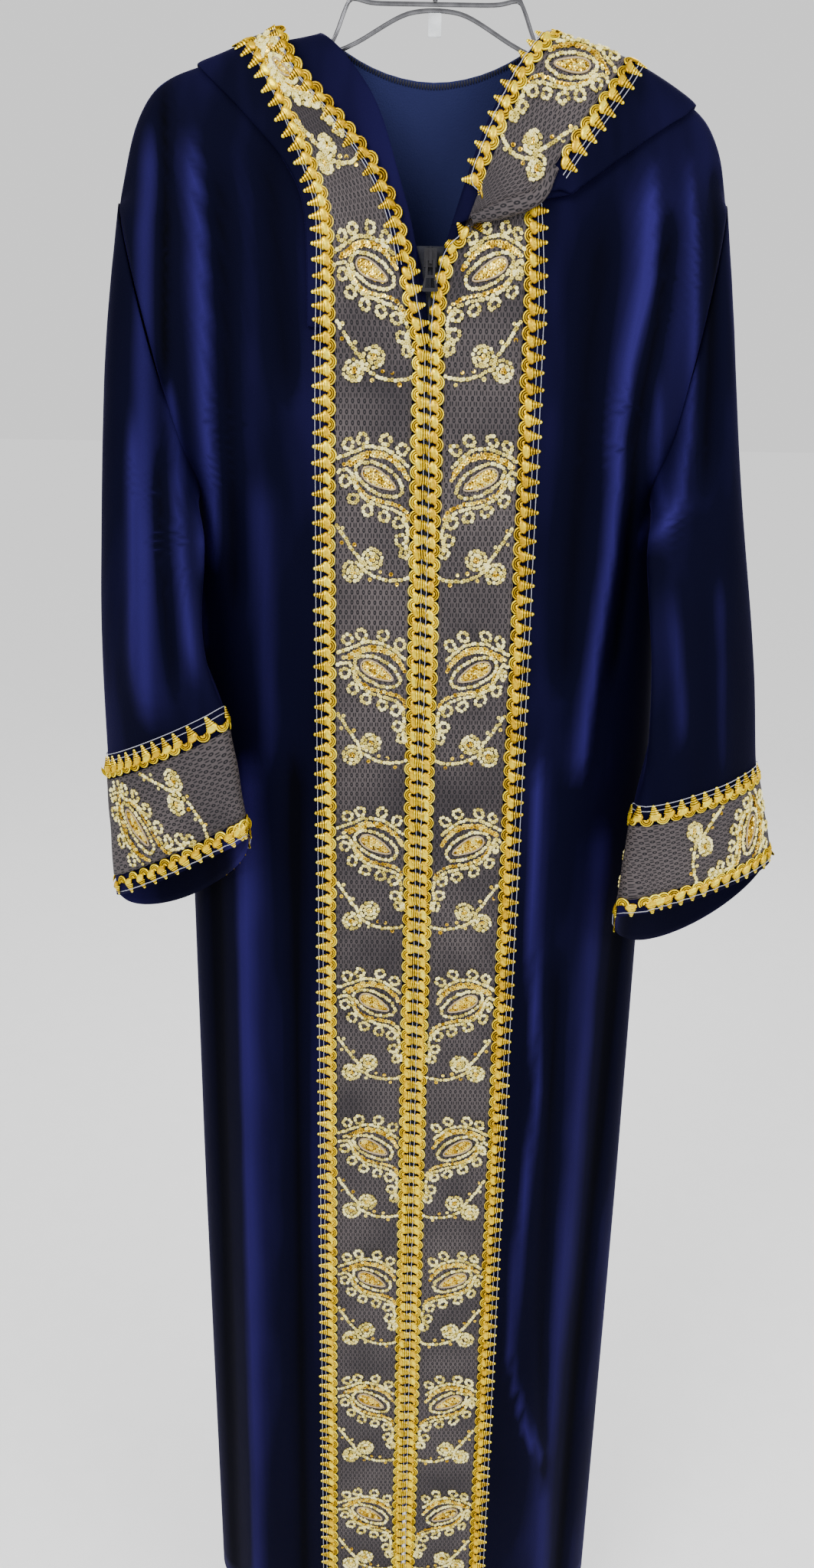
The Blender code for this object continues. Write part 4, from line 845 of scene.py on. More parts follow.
FOLD_SHADING_SHARE = 0.42          # how much the folds' painted highlights and shade count beside the cloudy noise

# Colours run from the painted shade of the folds' troughs up to the painted highlight of their crests
VELVET = velvet("velvet", (0.0002, 0.0003, 0.0020), (0.0012, 0.0012, 0.0088), (0.0165, 0.0110, 0.0900),
                0.10, (0.14, 0.10, 0.60))
VELVET_BACK = velvet("velvet_back", (0.0090, 0.0110, 0.0380), (0.0160, 0.0190, 0.0680),
                     (0.0240, 0.0280, 0.0980), 0.08, (0.30, 0.32, 0.70), 0.62)
LACE = lace_ground()
# Places on the ramp and their colours
GOLD_STOPS = ((0.0, (0.030, 0.014, 0.0005)), (0.25, (0.20, 0.105, 0.0010)),
              (0.48, (0.58, 0.33, 0.0010)), (0.74, (0.86, 0.62, 0.0050)), (1.0, (0.96, 0.86, 0.100)))
SEQUIN_STOPS = ((0.0, (0.10, 0.05, 0.004)), (0.30, (0.52, 0.29, 0.012)), (0.60, (0.95, 0.66, 0.050)),
                (1.0, (1.0, 0.95, 0.34)))
CREAM_STOPS = ((0.0, (0.16, 0.115, 0.010)), (0.30, (0.58, 0.46, 0.085)), (0.60, (0.90, 0.79, 0.26)),
               (1.0, (1.0, 0.96, 0.56)))
GOLD_EDGE = (1.0, 0.78, 0.22)
GOLD = gold("gold_braid", GOLD_STOPS, 0.75, 0.36, GOLD_EDGE)
SEQUIN_GOLD = gold("sequin_gold", SEQUIN_STOPS, 0.8, 0.20, GOLD_EDGE)
CREAM = gold("cream_cord", CREAM_STOPS, 0.0, 0.35, (1.0, 0.95, 0.75))
TAUPE = plain("taupe_cord", (0.36, 0.27, 0.15), 0.6)
THREAD = plain("thread", (0.34, 0.35, 0.42), 0.6)
STEEL = plain("steel", (0.15, 0.15, 0.16), 0.24, 1.0, 120.0, 0.1)
ZIP_TAPE = plain("zip_tape", (0.0025, 0.0030, 0.0090), 0.85, 0.0, 900.0, 0.5)
ZIP_METAL = plain("zip_metal", (0.012, 0.011, 0.014), 0.28, 0.3)
OVERLOCK = plain("overlock", (0.0040, 0.0042, 0.0130), 0.7)
CLIP = plain("clear_plastic", (0.75, 0.78, 0.80), 0.12, 0.0, 80.0, 0.05, 0.45)


# Folds of the front-facing cloth, in mm. Each has points of x and z down its crease,
# its height towards the viewer, its width to either side and the painted light along its crease:
# highlight above nought, shade below.

FRONT_FOLDS = (
    (((-207, -170), (-211, -250), (-215, -340), (-217, -455), (-219, -590)), 4.5, 15, 15, 0.75),
    (((-197, -140), (-195, -198), (-195, -245), (-196, -275), (-198, -335)), -3.5, 7, 5, -0.8),
    (((-174, -180), (-168, -244), (-167, -300), (-167, -390), (-168, -470)), 5.0, 13, 6, 0.9),
    (((-156, -200), (-152, -300), (-152, -400), (-153, -500)), -3.0, 7, 12, -0.6),
    (((-196, -340), (-189, -442), (-178, -550)), 3.5, 9, 7, 0.7),
    (((-206, -400), (-203, -470), (-196, -560)), -3.0, 7, 7, -0.6),
    (((-224, -374), (-226, -454), (-229, -560)), 2.5, 6, 6, 0.5),
    (((-120, -180), (-112, -260), (-106, -340)), -2.5, 14, 14, -0.5),
    (((-130, -420), (-126, -520), (-124, -640)), 3.0, 16, 16, 0.3),
    (((161, -196), (160, -261), (150, -320), (146, -374), (148, -407), (148, -463), (141, -541),
      (134, -640)), 6.5, 13, 6, 1.0),
    (((174, -226), (171, -280), (163, -331), (159, -374), (162, -420), (162, -480), (156, -560)),
     -4.0, 6, 9, -0.8),
    (((126, -230), (120, -330), (118, -430), (116, -560)), -3.0, 14, 16, -0.5),
    (((190, -190), (196, -270), (201, -330), (201, -373), (196, -416), (182, -445)), 3.5, 9, 4, 0.55),
    (((209, -196), (211, -258), (213, -330), (214, -400)), -3.0, 5, 9, -0.7),
    (((174, -340), (180, -395), (187, -447)), 2.5, 7, 6, 0.35),
    (((172, -452), (184, -436), (197, -424)), 3.0, 10, 10, 0.6),
    (((193, -500), (199, -545), (207, -600)), 2.5, 9, 9, 0.35),
    (((230, -480), (238, -560), (246, -640)), 2.5, 12, 12, 0.35),
    (((-148, -640), (-152, -797), (-153, -946), (-154, -1118), (-156, -1309), (-160, -1600)),
     4.5, 9, 22, 0.85),
    (((-176, -700), (-178, -900), (-180, -1200), (-184, -1600)), -5.0, 11, 9, -0.9),
    (((-104, -640), (-106, -900), (-107, -1200), (-106, -1600)), -5.0, 10, 10, -0.9),
    (((97, -640), (101, -800), (112, -941), (103, -1113), (101, -1254), (118, -1330), (139, -1380)),
     3.5, 6, 9, 0.8),
    (((122, -820), (128, -1000), (130, -1200), (146, -1420)), -3.0, 8, 9, -0.6),
    (((158, -700), (156, -900), (150, -1150), (146, -1400), (150, -1600)), 3.5, 18, 14, 0.45),
    (((180, -760), (178, -1000), (172, -1250), (170, -1600)), -4.5, 10, 10, -0.9),
)
BACK_FOLDS = (
    (((-150, -330), (-140, -700), (-128, -1100), (-122, -1600)), 5.0, 16, 16, 0.7),
    (((-108, -360), (-100, -700), (-92, -1100), (-88, -1600)), -4.0, 14, 14, -0.7),
    (((-52, -420), (-48, -800), (-40, -1200), (-34, -1600)), 4.0, 18, 14, 0.6),
    (((20, -400), (16, -800), (18, -1200), (22, -1600)), -4.0, 14, 16, -0.6),
    (((74, -360), (72, -700), (80, -1100), (88, -1600)), 5.0, 14, 18, 0.8),
    (((128, -340), (126, -700), (134, -1100), (140, -1600)), -4.0, 12, 14, -0.7),
    (((-214, -230), (-218, -340), (-222, -470), (-216, -600)), 3.5, 12, 12, 0.6),
    (((216, -230), (222, -340), (230, -470), (238, -620)), 3.5, 12, 12, 0.6),
    (((200, -300), (206, -400), (214, -520)), -3.0, 8, 8, -0.6),
    (((-200, -300), (-204, -400), (-202, -520)), -3.0, 8, 8, -0.6),
)
FOLD_SHADING_NARROW = 0.5          # the painted highlight and shade are strongest along a narrow line on the crease
LEAN = 0.011              # a sleeve's inner side leans on the body below the armpit
LEAN_X, LEAN_FADE = 0.212, 0.020
LEAN_Z, LEAN_REACH = -0.415, 0.065
FOLD_END = 45.0           # mm over which a crease comes up at its end
SEAM_FADE = 0.030         # folds die out this far from the side seam
SIDE_SEAM = ((-1.60, 0.203), (-1.10, 0.204), (-0.74, 0.202), (-0.56, 0.199), (-0.50, 0.195),
             (-0.42, 0.185), (-0.36, 0.195), (-0.28, 0.212), (-0.20, 0.226), (-0.10, 0.230))
CENTRE_FADE = (0.055, 0.100)         # from the middle, where the bands lie, folds come up


def fold_field(folds, x, z):
    """Height in metres, and the folds' painted highlight and shade, at arrays of x and z."""
    x, z = x * 1000.0, z * 1000.0
    height, fold_shading = np.zeros_like(x), np.zeros_like(x)
    for points, lift, left, right, pile_brush_and_fold_shading in folds:
        line = np.array(sorted(points, key=lambda p: p[1]), float)
        middle = np.interp(z, line[:, 1], line[:, 0])
        off = x - middle
        width = np.where(off < 0, left, right)
        ends = (smoothstep((z - line[0, 1] + FOLD_END / 2) / FOLD_END)
                * smoothstep((line[-1, 1] + FOLD_END / 2 - z) / FOLD_END))
        shape = np.exp(-(off / width) ** 2) * ends
        height += lift * shape
        # painted highlight along a crest, painted shade along a trough
        fold_shading += pile_brush_and_fold_shading * (0.45 * shape + 0.75 * np.exp(-(off / (width * FOLD_SHADING_NARROW)) ** 2) * ends)
    return height * MM, fold_shading


def points_of(mesh):
    points = np.zeros(len(mesh.vertices) * 3)
    mesh.vertices.foreach_get("co", points)
    return points.reshape(-1, 3)


def lay_folds(obj, kind):
    """Moves the cloth by its folds, both faces of the wall alike, and keeps the folds' painted
    highlights and shade at each point.
    """
    mesh = obj.data
    points = points_of(mesh)
    x, y, z = points.T
    if kind == "sleeve":
        centre, half = sleeve_middle(points)
        forward = smoothstep((centre - y) / (half * 0.9) * 0.5 + 0.5)
        weight = np.ones_like(x)
        leaning = (smoothstep((LEAN_X - np.abs(x)) / LEAN_FADE)
                   * np.exp(-((z - LEAN_Z) / LEAN_REACH) ** 2))
        points[:, 0] -= np.sign(x) * LEAN * leaning
    else:
        forward = np.full_like(x, 0.0 if kind == "back" else 1.0)
        seams = sorted(SIDE_SEAM)
        seam = np.interp(z, [row[0] for row in seams], [row[1] for row in seams])
        weight = smoothstep((seam - np.abs(x)) / SEAM_FADE)
    low, high = CENTRE_FADE
    front_weight = weight * smoothstep((np.abs(x) - low) / (high - low))
    front, front_fold_shading = fold_field(FRONT_FOLDS, x, z)
    behind, behind_fold_shading = fold_field(BACK_FOLDS, x, z)
    if kind == "hood":
        front, behind = front * 0.0, behind * 0.0
        front_fold_shading, behind_fold_shading = front_fold_shading * 0.4, behind_fold_shading * 0.4
    points[:, 1] += behind * weight * (1 - forward) - front * front_weight * forward
    mesh.vertices.foreach_set("co", points.reshape(-1))
    # each point keeps the painted highlight and shade of the folds
    fold_shading = mesh.attributes.new("fold_shading", "FLOAT", "POINT")
    fold_shading.data.foreach_set("value", front_fold_shading * forward + behind_fold_shading * (1 - forward))
    mesh.update()


def sleeve_middle(points):
    """Middle depth and half depth of a sleeve at each point, from its own points at that height."""
    keys = np.round((points[:, 2] + np.abs(points[:, 0])) / 0.03).astype(int)
    centre, half = np.zeros(len(points)), np.full(len(points), 0.02)
    for key in np.unique(keys):
        here = keys == key
        low, high = points[here, 1].min(), points[here, 1].max()
        centre[here] = (low + high) / 2
        half[here] = max((high - low) / 2, 0.008)
    return centre, half


WRONG_SIDE = {"front": 1.0, "back": -1.0}     # the way a body panel's inner face looks along y


def show_wrong_side(obj, kind):
    """The body's inner faces get the cloth's wrong side."""
    obj.data.materials.append(VELVET_BACK)
    if kind in WRONG_SIDE:
        for face in obj.data.polygons:
            if face.normal.y * WRONG_SIDE[kind] > 0.3 and face.center.z < BACKING_BELOW:
                face.material_index = 1


def make_shell(name):
    kind = name.split("_")[0]
    obj = smooth_shell("cloth_" + name, name)
    lay_folds(obj, kind)
    finish_piece(obj, VELVET, "velvet", name)
    show_wrong_side(obj, kind)
    return obj


# Flat size in metres that each panel is cut to
SHEETS = {"back": (0.47, 1.50), "front_left": (0.24, 1.50), "front_right": (0.24, 1.50),
          "sleeve_left": (0.30, 0.52), "sleeve_right": (0.30, 0.52),
          "hood_left": (0.27, 0.40), "hood_right": (0.27, 0.40)}


# The bands' runs

def upright_rails(side, cloth):
    rails = outer_rails("lace_front_" + side, cloth)
    rails.sort(key=lambda r: abs(r[len(r) // 2].x))
    return level_rails([array(rail) for rail in rails])


def hood_rails(cloth):
    rails = outer_rails("lace_hood", cloth)
    rails = [r if r[0].x < r[-1].x else r[::-1] for r in rails]
    rails.sort(key=lambda r: sum((b - a).length for a, b in zip(r, r[1:])))
    return paired_rails(array(rails[0]), array(rails[1]), False)


def cuff_rails(side, cloth):
    sign = SIDES[side]
    aligned = []
    for rail in outer_rails("cuff_lace_" + side, cloth):
        first = max(range(len(rail)), key=lambda k: sign * rail[k].x)
        rail = rail[first:] + rail[:first]
        if rail[1].y > rail[-1].y:
            rail = [rail[0]] + rail[:0:-1]
        aligned.append(rail)
    aligned.sort(key=lambda r: -r[0].z)
    return paired_rails(array(aligned[1]), array(aligned[0]), True)


def make_bands(shells):
    """The left front's band, the right front's with the hood's as one run, and the cuffs'."""
    trees = {name: tree_of(obj) for name, obj in shells.items()}
    halves = shells["hood_left"], shells["hood_right"]
    hood, run = tree_of(*halves), tree_of(*halves, shells["front_right"])
    bands = {"left": Band(*upright_rails("left", trees["front_left"]), trees["front_left"])}
    up = [rail[::-1] for rail in upright_rails("right", trees["front_right"])]
    over = hood_rails(hood)
    joint = run_of((up[0] + up[1]) / 2)[-1]
    bands["right"] = Band(*(np.vstack([a, b]) for a, b in zip(up, over)), run, step_at=joint)
    bands["edge_left"] = edge_band(bands["left"], bands["right"], joint,
                                   tree_of(*halves, shells["front_left"]))
    for side in SIDES:
        tree = trees["sleeve_" + side]
        bands["cuff_" + side] = Band(*cuff_rails(side, tree), tree, closed=True)
    return bands, joint


def edge_band(left, right, joint, cloth):
    """The left front's edge from the hem up, going over into the hood's edge as far as its middle."""
    lower = np.linspace(left.length, EDGE_TOP, EDGE_POINTS[0])
    upper = np.linspace(right.length - EDGE_OVER, (joint + right.length) / 2, EDGE_POINTS[1])
    rail = np.vstack([left.at(lower, 0.0)[0], right.at(upper, 0.0)[0]])
    aside = np.vstack([left.at(lower, ASIDE)[0], right.at(upper, ASIDE)[0]]) - rail
    joint_left = run_of(rail[:EDGE_POINTS[0]])[-1]
    keys = run_of(rail)
    wanted = np.linspace(0, keys[-1], int(keys[-1] / EDGE_STEP))
    rail, aside = read_along(keys, rail, wanted), read_along(keys, aside, wanted)
    near = np.exp(-((wanted[1:-1] - joint_left) / EDGE_REACH) ** 2)[:, None]
    for _ in range(EDGE_ROUNDS):
        rail[1:-1] += (eased(rail) - rail[1:-1]) * near
    normal = np.array([tuple(cloth.find_nearest(Vector(p))[1]) for p in rail])
    for _ in range(8):
        normal[1:-1] = unit(eased(normal))
    across = unit(np.cross(normal, np.gradient(rail, axis=0)))
    across *= np.sign((across * aside).sum())
    for _ in range(6):
        across[1:-1] = unit(eased(across))
    band = Band(rail, rail + across * LACE_WIDTH, cloth, measured_at=INNER_CORE / LACE_WIDTH)
    band.step_at = joint_left
    band.bridge(joint_left - NOTCH_BELOW, joint_left + NOTCH_ABOVE)
    return band


def height_place(band, z, s_max):
    """Where the band's middle passes a height, on its upright part."""
    part = band.s <= s_max
    middle = band.grid[part, len(band.a) // 2, 2]
    order = np.argsort(middle)
    return float(np.interp(z, middle[order], band.s[part][order]))


def lay_embroidery(name, band, units, rng, s_from=0.0, s_to=None):
    """Repeats at places on the band, each with its direction and its eye's shift."""
    batches = Batch(), Batch(), Batch()
    for place, direction, shift in units:
        lay_unit(band, place, direction, *batches, rng, shift,
                 s_from, band.length if s_to is None else s_to)
    for batch, kind, mat, slot in zip(batches, ("beads_", "sequins_", "eye_cords_"),
                                      (CREAM, SEQUIN_GOLD, TAUPE), ("braid", "braid", "lace")):
        finish_piece(batch.build(kind + name), mat, slot)


# Each run of braid: where its middle lies, where its picots start and how long they are (mm)
EDGE_PICOTS = {"front_right": (6.4, 0.0014), "front_left": (4.8, 0.0004), "hood": (8.8, 0.0005),
               "cuff": (7.6, 0.0005)}
OUTER_PICOTS = {"front_right": 10.0, "front_left": 10.0, "hood": 10.0, "cuff": 8.8}
LAPEL_CORNER = 2.106      # run of the right band and hood where the left lapel's lower edge starts
ROLL_HALF = 0.0068
ROLL_FLAT = 0.72          # its height over its width
NET_COLUMNS = 14
NET_OVER = 0.0006         # the net reaches this far past both its edges
NET_TOP, NET_LOW = 0.0013, 0.0003         # its faces' heights over the cloth
ROLL_OUT = 0.35           # how far the roll hangs over the edge, in its own half widths
TURNED_OVER = (0.045, 0.300)         # from the hood's right edge, where the lapel turns the braid over
OVER_CORE = -0.0085
OVER_BASE = -0.0065
OVER_THREADS = (-0.0035, 0.0000)
OUTER_THREADS = (0.0120, 0.0160)
INNER_THREAD = -0.0113
EDGE_TOP = 0.026          # the left front's edge braid leaves the front this far below its top
EDGE_OVER = 0.016         # and joins the hood's edge this far before the lapel's end
EDGE_POINTS = (320, 120)  # points read on the front's edge and on the hood's
EDGE_STEP = 0.003
EDGE_REACH = 0.020        # the edge is evened this far round its joint
EDGE_ROUNDS = 90
ASIDE = 0.02              # a place on the band, to tell which way is across
NOTCH_BELOW, NOTCH_ABOVE = 0.016, 0.035   # the sweep starts and ends this far from the joint
NOTCH_LIFT = 0.0022
INNER_CORE = -0.0060
INNER_BASE = -0.0082
SHADE_AND_UNDERSIDE = {"front_left": 0.16, "turned_over": 0.22}     # painted shade on the left front's outer braid, which faces away from the light; the turned-over braid shows its darker underside
OUTER_CORE = 0.0062
OUTER_BASE = 0.0082


def lay_outer(name, band, replaced, rng, s_from=0.0, s_to=None):
    """The braid along the band's outer edge and the two threads that run through its picots."""
    outer = Batch()
    length = OUTER_PICOTS["cuff" if name.startswith("cuff") else name]
    lay_braid(outer, band, LACE_WIDTH + OUTER_CORE, 1.0, LACE_WIDTH + OUTER_BASE, length, OUTER_RIBS,
              rng, s_from, s_to, shade_and_underside=SHADE_AND_UNDERSIDE.get(name, 0.0))
    finish_piece(outer.build("picots_outer_" + name), GOLD, "braid", replaced)
    threads = Batch()
    for a in OUTER_THREADS:
        lay_thread(threads, band, LACE_WIDTH + a, 0.0007, 0.00034, s_from, s_to)
    finish_piece(threads.build("threads_outer_" + name), THREAD, "braid")


def lay_inner(name, runs, replaced, rng):
    """The braid along the band's inner edge. A run is a band, where it starts and ends, and True
    where the lapel turns the braid over, so that its picots lie on the net."""
    inner, threads = Batch(), Batch()
    length, lift = EDGE_PICOTS["cuff" if name.startswith("cuff") else name]
    ribs = INNER_RIBS if name.startswith("front") else OUTER_RIBS
    for band, s_from, s_to, turned_over in runs:
        if turned_over:
            lay_braid(inner, band, OVER_CORE, 1.0, OVER_BASE, length, ribs, rng, s_from, s_to, 0.0016,
                      SHADE_AND_UNDERSIDE["turned_over"])
            for a in OVER_THREADS:
                lay_thread(threads, band, a, 0.0022, 0.00034, s_from, s_to)
        else:
            lay_braid(inner, band, INNER_CORE, -1.0, INNER_BASE, length, ribs, rng, s_from, s_to, lift)
            lay_thread(threads, band, INNER_THREAD, 0.0022, 0.00035, s_from, s_to, 0.0004)
    finish_piece(inner.build("picots_inner_" + name), GOLD, "braid", replaced)
    finish_piece(threads.build("threads_inner_" + name), THREAD, "braid")


def net_piece(name, points, faces, flat, *replaced):
    """A piece of net whose UVs are its places on the flat net, in metres."""
    mesh = bpy.data.meshes.new(name)
    mesh.from_pydata(points.tolist(), [], faces)
    layer = mesh.uv_layers.new(name="band")
    corner = np.zeros(len(mesh.loops), int)
    mesh.loops.foreach_get("vertex_index", corner)
    layer.data.foreach_set("uv", flat[corner].reshape(-1))
    return finish_piece(new_object(name, mesh), LACE, "lace", *replaced)


def lay_roll(band):
    """The net bulges in a roll along the left lapel's lower edge."""
    s = np.linspace(LAPEL_CORNER, band.length - 0.002, 24)
    share = np.linspace(0, 1, len(s))
    edge, normal, _, _ = band.at(s, LACE_WIDTH)
    ahead = unit(np.gradient(edge, axis=0))
    across = band.at(s, 0.0)[0] - edge
    across[-6:] = across[-6]
    across = unit(across - ahead * (across * ahead).sum(-1, keepdims=True))
    half = ROLL_HALF * (0.45 + 0.55 * np.sin(np.pi * np.clip(share, 0.03, 0.97)))[:, None, None]
    turn = np.radians(np.linspace(0, 360, 13))[None, :, None]
    points = (edge[:, None] - across[:, None] * half * (ROLL_OUT + np.cos(turn))
              + normal[:, None] * (half * ROLL_FLAT * np.sin(turn) + 0.0012))
    flat = np.dstack([(0.2 + turn * half * 0.8)[..., 0], np.repeat(s[:, None], turn.size, axis=1)])
    net_piece("mesh_roll", points.reshape(-1, 3), grid_faces(len(s), turn.size), flat.reshape(-1, 2))


def lace_piece(name, band, *replaced, s_from=0.0, s_to=None):
    """The net itself, a thin closed strip."""
    s_to = band.length if s_to is None else s_to
    rows, cols = max(int((s_to - s_from) / band.step), 2) + 1, NET_COLUMNS
    ss, aa = np.meshgrid(np.linspace(s_from, s_to, rows),
                         np.linspace(-NET_OVER, LACE_WIDTH + NET_OVER, cols), indexing="ij")
    place, normal, _, _ = band.at(ss, aa)
    ripple = NET_RIPPLE * np.sin(aa * 170.0 + 2.0 * np.sin(ss * 37.0)) * np.sin(ss * 61.0 + aa * 40.0)
    top = place + normal * (NET_TOP + ripple)[..., None]
    low = place + normal * NET_LOW
    n = rows * cols
    faces = []
    for a, b, c, d in grid_faces(rows, cols):
        faces += [(a, b, c, d), (n + d, n + c, n + b, n + a)]
    rim = [(i, i + 1) for i in range(cols - 1)]
    rim += [(cols - 1 + i * cols, cols - 1 + (i + 1) * cols) for i in range(rows - 1)]
    rim += [((rows - 1) * cols + j + 1, (rows - 1) * cols + j) for j in range(cols - 1)]
    rim += [((i + 1) * cols, i * cols) for i in range(rows - 1)]
    faces += [(q, p, n + p, n + q) for p, q in rim]
    flat = np.column_stack([np.tile(aa.reshape(-1), 2) + 0.1, np.tile(ss.reshape(-1), 2)])
    obj = net_piece(name, np.vstack([top.reshape(-1, 3), low.reshape(-1, 3)]), faces, flat, *replaced)


NET_RIPPLE = 0.0003       # the net lies a little uneven
HOOD_FIRST = 0.042        # the right eyes go on up into the hood this far after its edge
HOOD_LAST = 0.130         # the left end's first eye
LEFT_SHIFT = 6.0          # mm the eyes of the left front lie further out


def front_units(band, s_max, direction, shift):
    return [(height_place(band, EYE_Z - REPEAT * k, s_max), direction, shift) for k in range(EYES)]


def hood_units(band, joint):
    """Repeats rise from both ends of the hood's edge and meet at its middle."""
    middle = (joint + band.length) / 2
    rising = np.arange(joint + HOOD_FIRST + REPEAT, middle, REPEAT)
    falling = np.arange(band.length - HOOD_LAST, middle, -REPEAT)
    return [(place, -1.0, 0.0) for place in rising] + [(place, 1.0, 0.0) for place in falling]


def dress_bands(bands, joint, rng):
    right, left = bands["right"], bands["left"]
    lace_piece("mesh_front_left", left, "lace_front_left")
    lace_piece("mesh_right", right, "lace_front_right", "lace_hood")
    lay_roll(right)
    lay_embroidery("front_left", left, front_units(left, left.length, 1.0, LEFT_SHIFT), rng)
    units = front_units(right, joint + 0.03, -1.0, 0.0)
    first = [(joint + HOOD_FIRST, -1.0, 0.0)]
    lay_embroidery("front_right", right, units[1:] + first, rng, 0.0, joint)
    lay_embroidery("hood", right, first + hood_units(right, joint), rng, joint)
    edge, edge_joint = bands["edge_left"], bands["edge_left"].step_at
    middle = (joint + right.length) / 2
    over = [joint + run for run in TURNED_OVER]
    lay_inner("front_left", [(edge, 0.0, edge_joint, False)], "braid_inner_left", rng)
    lay_inner("front_right", [(right, 0.0, joint, False)], "braid_inner_right", rng)
    lay_inner("hood", [(right, joint, over[0], False), (right, over[0], over[1], True),
                       (right, over[1], middle, False), (edge, edge_joint, edge.length, False)],
              "braid_hood_inner", rng)
    lay_outer("front_left", left, "braid_outer_left", rng)
    lay_outer("front_right", right, "braid_outer_right", rng, 0.0, joint)
    lay_outer("hood", right, "braid_hood_outer", rng, joint, LAPEL_CORNER)
    for side in SIDES:
        name = "cuff_" + side
        band = bands[name]
        lace_piece("mesh_" + name, band, "cuff_lace_" + side)
        units = [(CUFF_FIRST[side] + band.length / CUFF_REPEATS * k, 1.0, 0.0)
                 for k in range(CUFF_REPEATS)]
        lay_embroidery(name, band, units, rng)
        lay_inner(name, [(band, 0.0, band.length, False)], "cuff_braid_lower_" + side, rng)
        lay_outer(name, band, "cuff_braid_upper_" + side, rng)


NECK_HALF = 0.100         # stitches run this far to either side of the back neck's middle
NECK_STEP = 0.0021
NECK_DROP = 0.0034        # and lie this far below its edge
# Rows of radius, height and painted tone: darker at its base, lighter on top
STITCH = turned_shape(((1.0, 0.0, -0.5), (0.9, 0.6, 0.0), (0.4, 1.0, 0.2)), 6)
STITCH = (STITCH[0] * np.array((0.75, 2.3, 0.7)), STITCH[1], STITCH[2])


def lay_neck_stitches(cloth):
    """The overlocked edge of the back neck, on the side that shows."""
    points = points_of(cloth.data)
    keys = np.linspace(-NECK_HALF, NECK_HALF, 41)
    near = [points[np.abs(points[:, 0] - key) < 0.006] for key in keys]
    top = np.array([rows[rows[:, 2].argmax(), 2] for rows in near])
    for _ in range(3):
        top[1:-1] = eased(top)
    line = np.column_stack([keys, np.zeros_like(keys), top])
    run = run_of(line)
    x, _, z = read_along(run, line, np.arange(0, run[-1], NECK_STEP)).T
    z = z - NECK_DROP
    slope = np.gradient(z) / np.gradient(x)
    tree = tree_of(cloth)
    places, normals = [], []
    for xx, zz in zip(x, z):
        place, normal, _, _ = tree.find_nearest(Vector((xx, -0.05, zz)))
        hit = tree.ray_cast(Vector((xx, place.y - 0.03, zz)), Vector((0, 1, 0)))
        places.append(hit[0] if hit[0] is not None else place)
        normals.append(hit[1] if hit[0] is not None else normal)
    places, normal = array(places), unit(array(normals))
    normal *= -np.sign(normal[:, 1:2])
    along = np.column_stack([np.ones_like(x), np.zeros_like(x), slope])
    across = unit(along - normal * (along * normal).sum(-1, keepdims=True))
    batch = Batch()
    batch.stamp(STITCH, places, (across, np.cross(normal, across), normal), np.full(len(x), MM),
                np.full(len(x), 0.5))
    finish_piece(batch.build("neck_stitches"), OVERLOCK, "velvet")


CUFF_FIRST = {"left": 0.030, "right": 0.044}   # the first eye round each cuff
CUFF_REPEATS = 2


def finish_hard_nodes():
    for name in ("hanger_wire", "hanger_hook"):
        finish_piece(smooth_shell("round_" + name, name), STEEL, "steel", name)
    for name, mat in (("zip_tape", ZIP_TAPE), ("zip_slider", ZIP_METAL), ("zip_pull", ZIP_METAL),
                      ("hanger_clip", CLIP)):
        nodes[name].data.materials.clear()
        nodes[name].data.materials.append(mat)


rng = np.random.default_rng(7)
shells = {name: make_shell(name) for name in SHEETS}
bands, joint = make_bands(shells)
dress_bands(bands, joint, rng)
lay_neck_stitches(shells["back"])
finish_hard_nodes()


# Stage

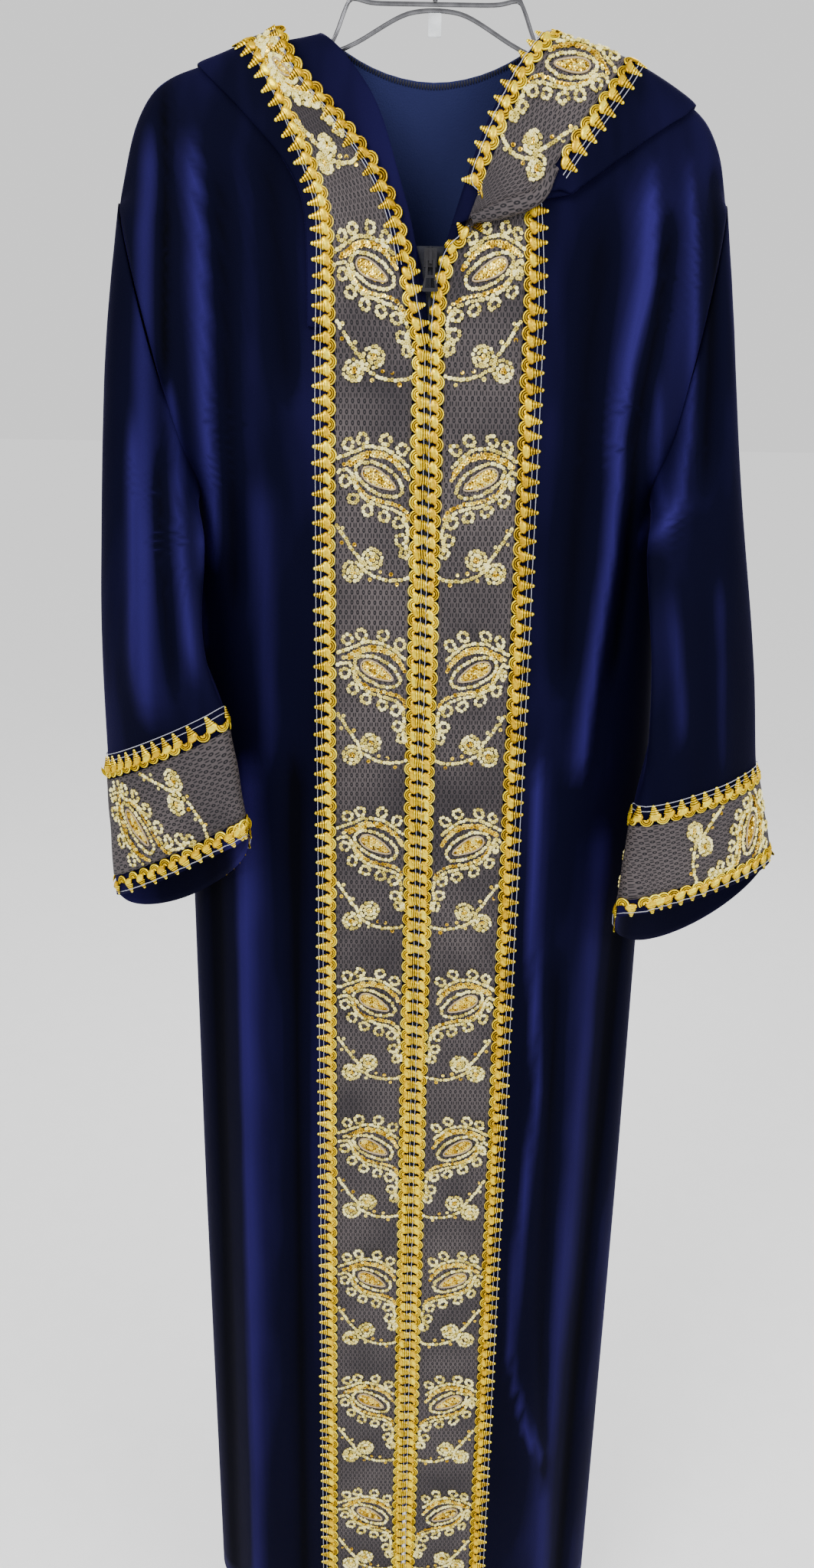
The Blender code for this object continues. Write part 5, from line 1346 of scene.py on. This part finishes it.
def floor_material():
    mat, ns, links, shader = node_material("floor_pale", 0.95, (
        ("Specular IOR Level", 0.0), ("Emission Color", (1.0, 1.0, 1.0, 1.0)),
        ("Emission Strength", FLOOR_GLOW)))
    colour = ramp_node(ns, links, noise_node(ns, links, 40.0), (0.3, (0.90,) * 3), (0.7, (0.93,) * 3))
    links.new(colour, shader.inputs["Base Color"])
    return mat


FLOOR_SIZE = 40.0         # half width, so that its far edge meets the pale world
FLOOR_BELOW = 0.12        # under the hem
FLOOR_GLOW = 0.18
WORLD = 1.05


def make_stage():
    mesh = bpy.data.meshes.new("floor")
    size, level = FLOOR_SIZE, cad_low[2] - FLOOR_BELOW
    mesh.from_pydata([(-size, -size, level), (size, -size, level), (size, size, level),
                      (-size, size, level)], [], [(0, 1, 2, 3)])
    mesh.materials.append(floor_material())
    new_object("floor", mesh)
    world = bpy.data.worlds.new("studio")
    world.use_nodes = True
    background = world.node_tree.nodes["Background"].inputs
    background["Color"].default_value = (1.0, 1.0, 1.0, 1.0)
    background["Strength"].default_value = WORLD
    bpy.context.scene.world = world


def make_light(name, place, target, size, power):
    data = bpy.data.lights.new(name, "AREA")
    data.shape = "DISK"
    data.size = size
    data.energy = power
    light = new_object(name, data)
    light.location = place
    light.rotation_euler = (Vector(target) - Vector(place)).to_track_quat("-Z", "Y").to_euler()


def make_camera():
    data = bpy.data.cameras.new("camera")
    data.sensor_width = SENSOR
    data.lens = SENSOR * FOCAL_PX / IMAGE_HEIGHT
    data.clip_start = 0.02
    camera = new_object("camera", data)
    look = Matrix.Rotation(math.radians(90 - CAMERA_PITCH), 4, "X")
    roll = Matrix.Rotation(math.radians(CAMERA_ROLL), 4, "Z")
    camera.matrix_world = Matrix.Translation(CAMERA_PLACE) @ look @ roll
    bpy.context.scene.camera = camera


make_stage()
make_light("key", (-1.2, -1.8, 1.0), (0, 0, -0.6), 1.4, 60.0)
make_light("fill", (1.6, -1.4, 0.3), (0, 0, -0.7), 1.6, 34.0)
make_light("back_light", (0.6, 1.8, 0.9), (0, 0, -0.6), 1.4, 30.0)
make_camera()
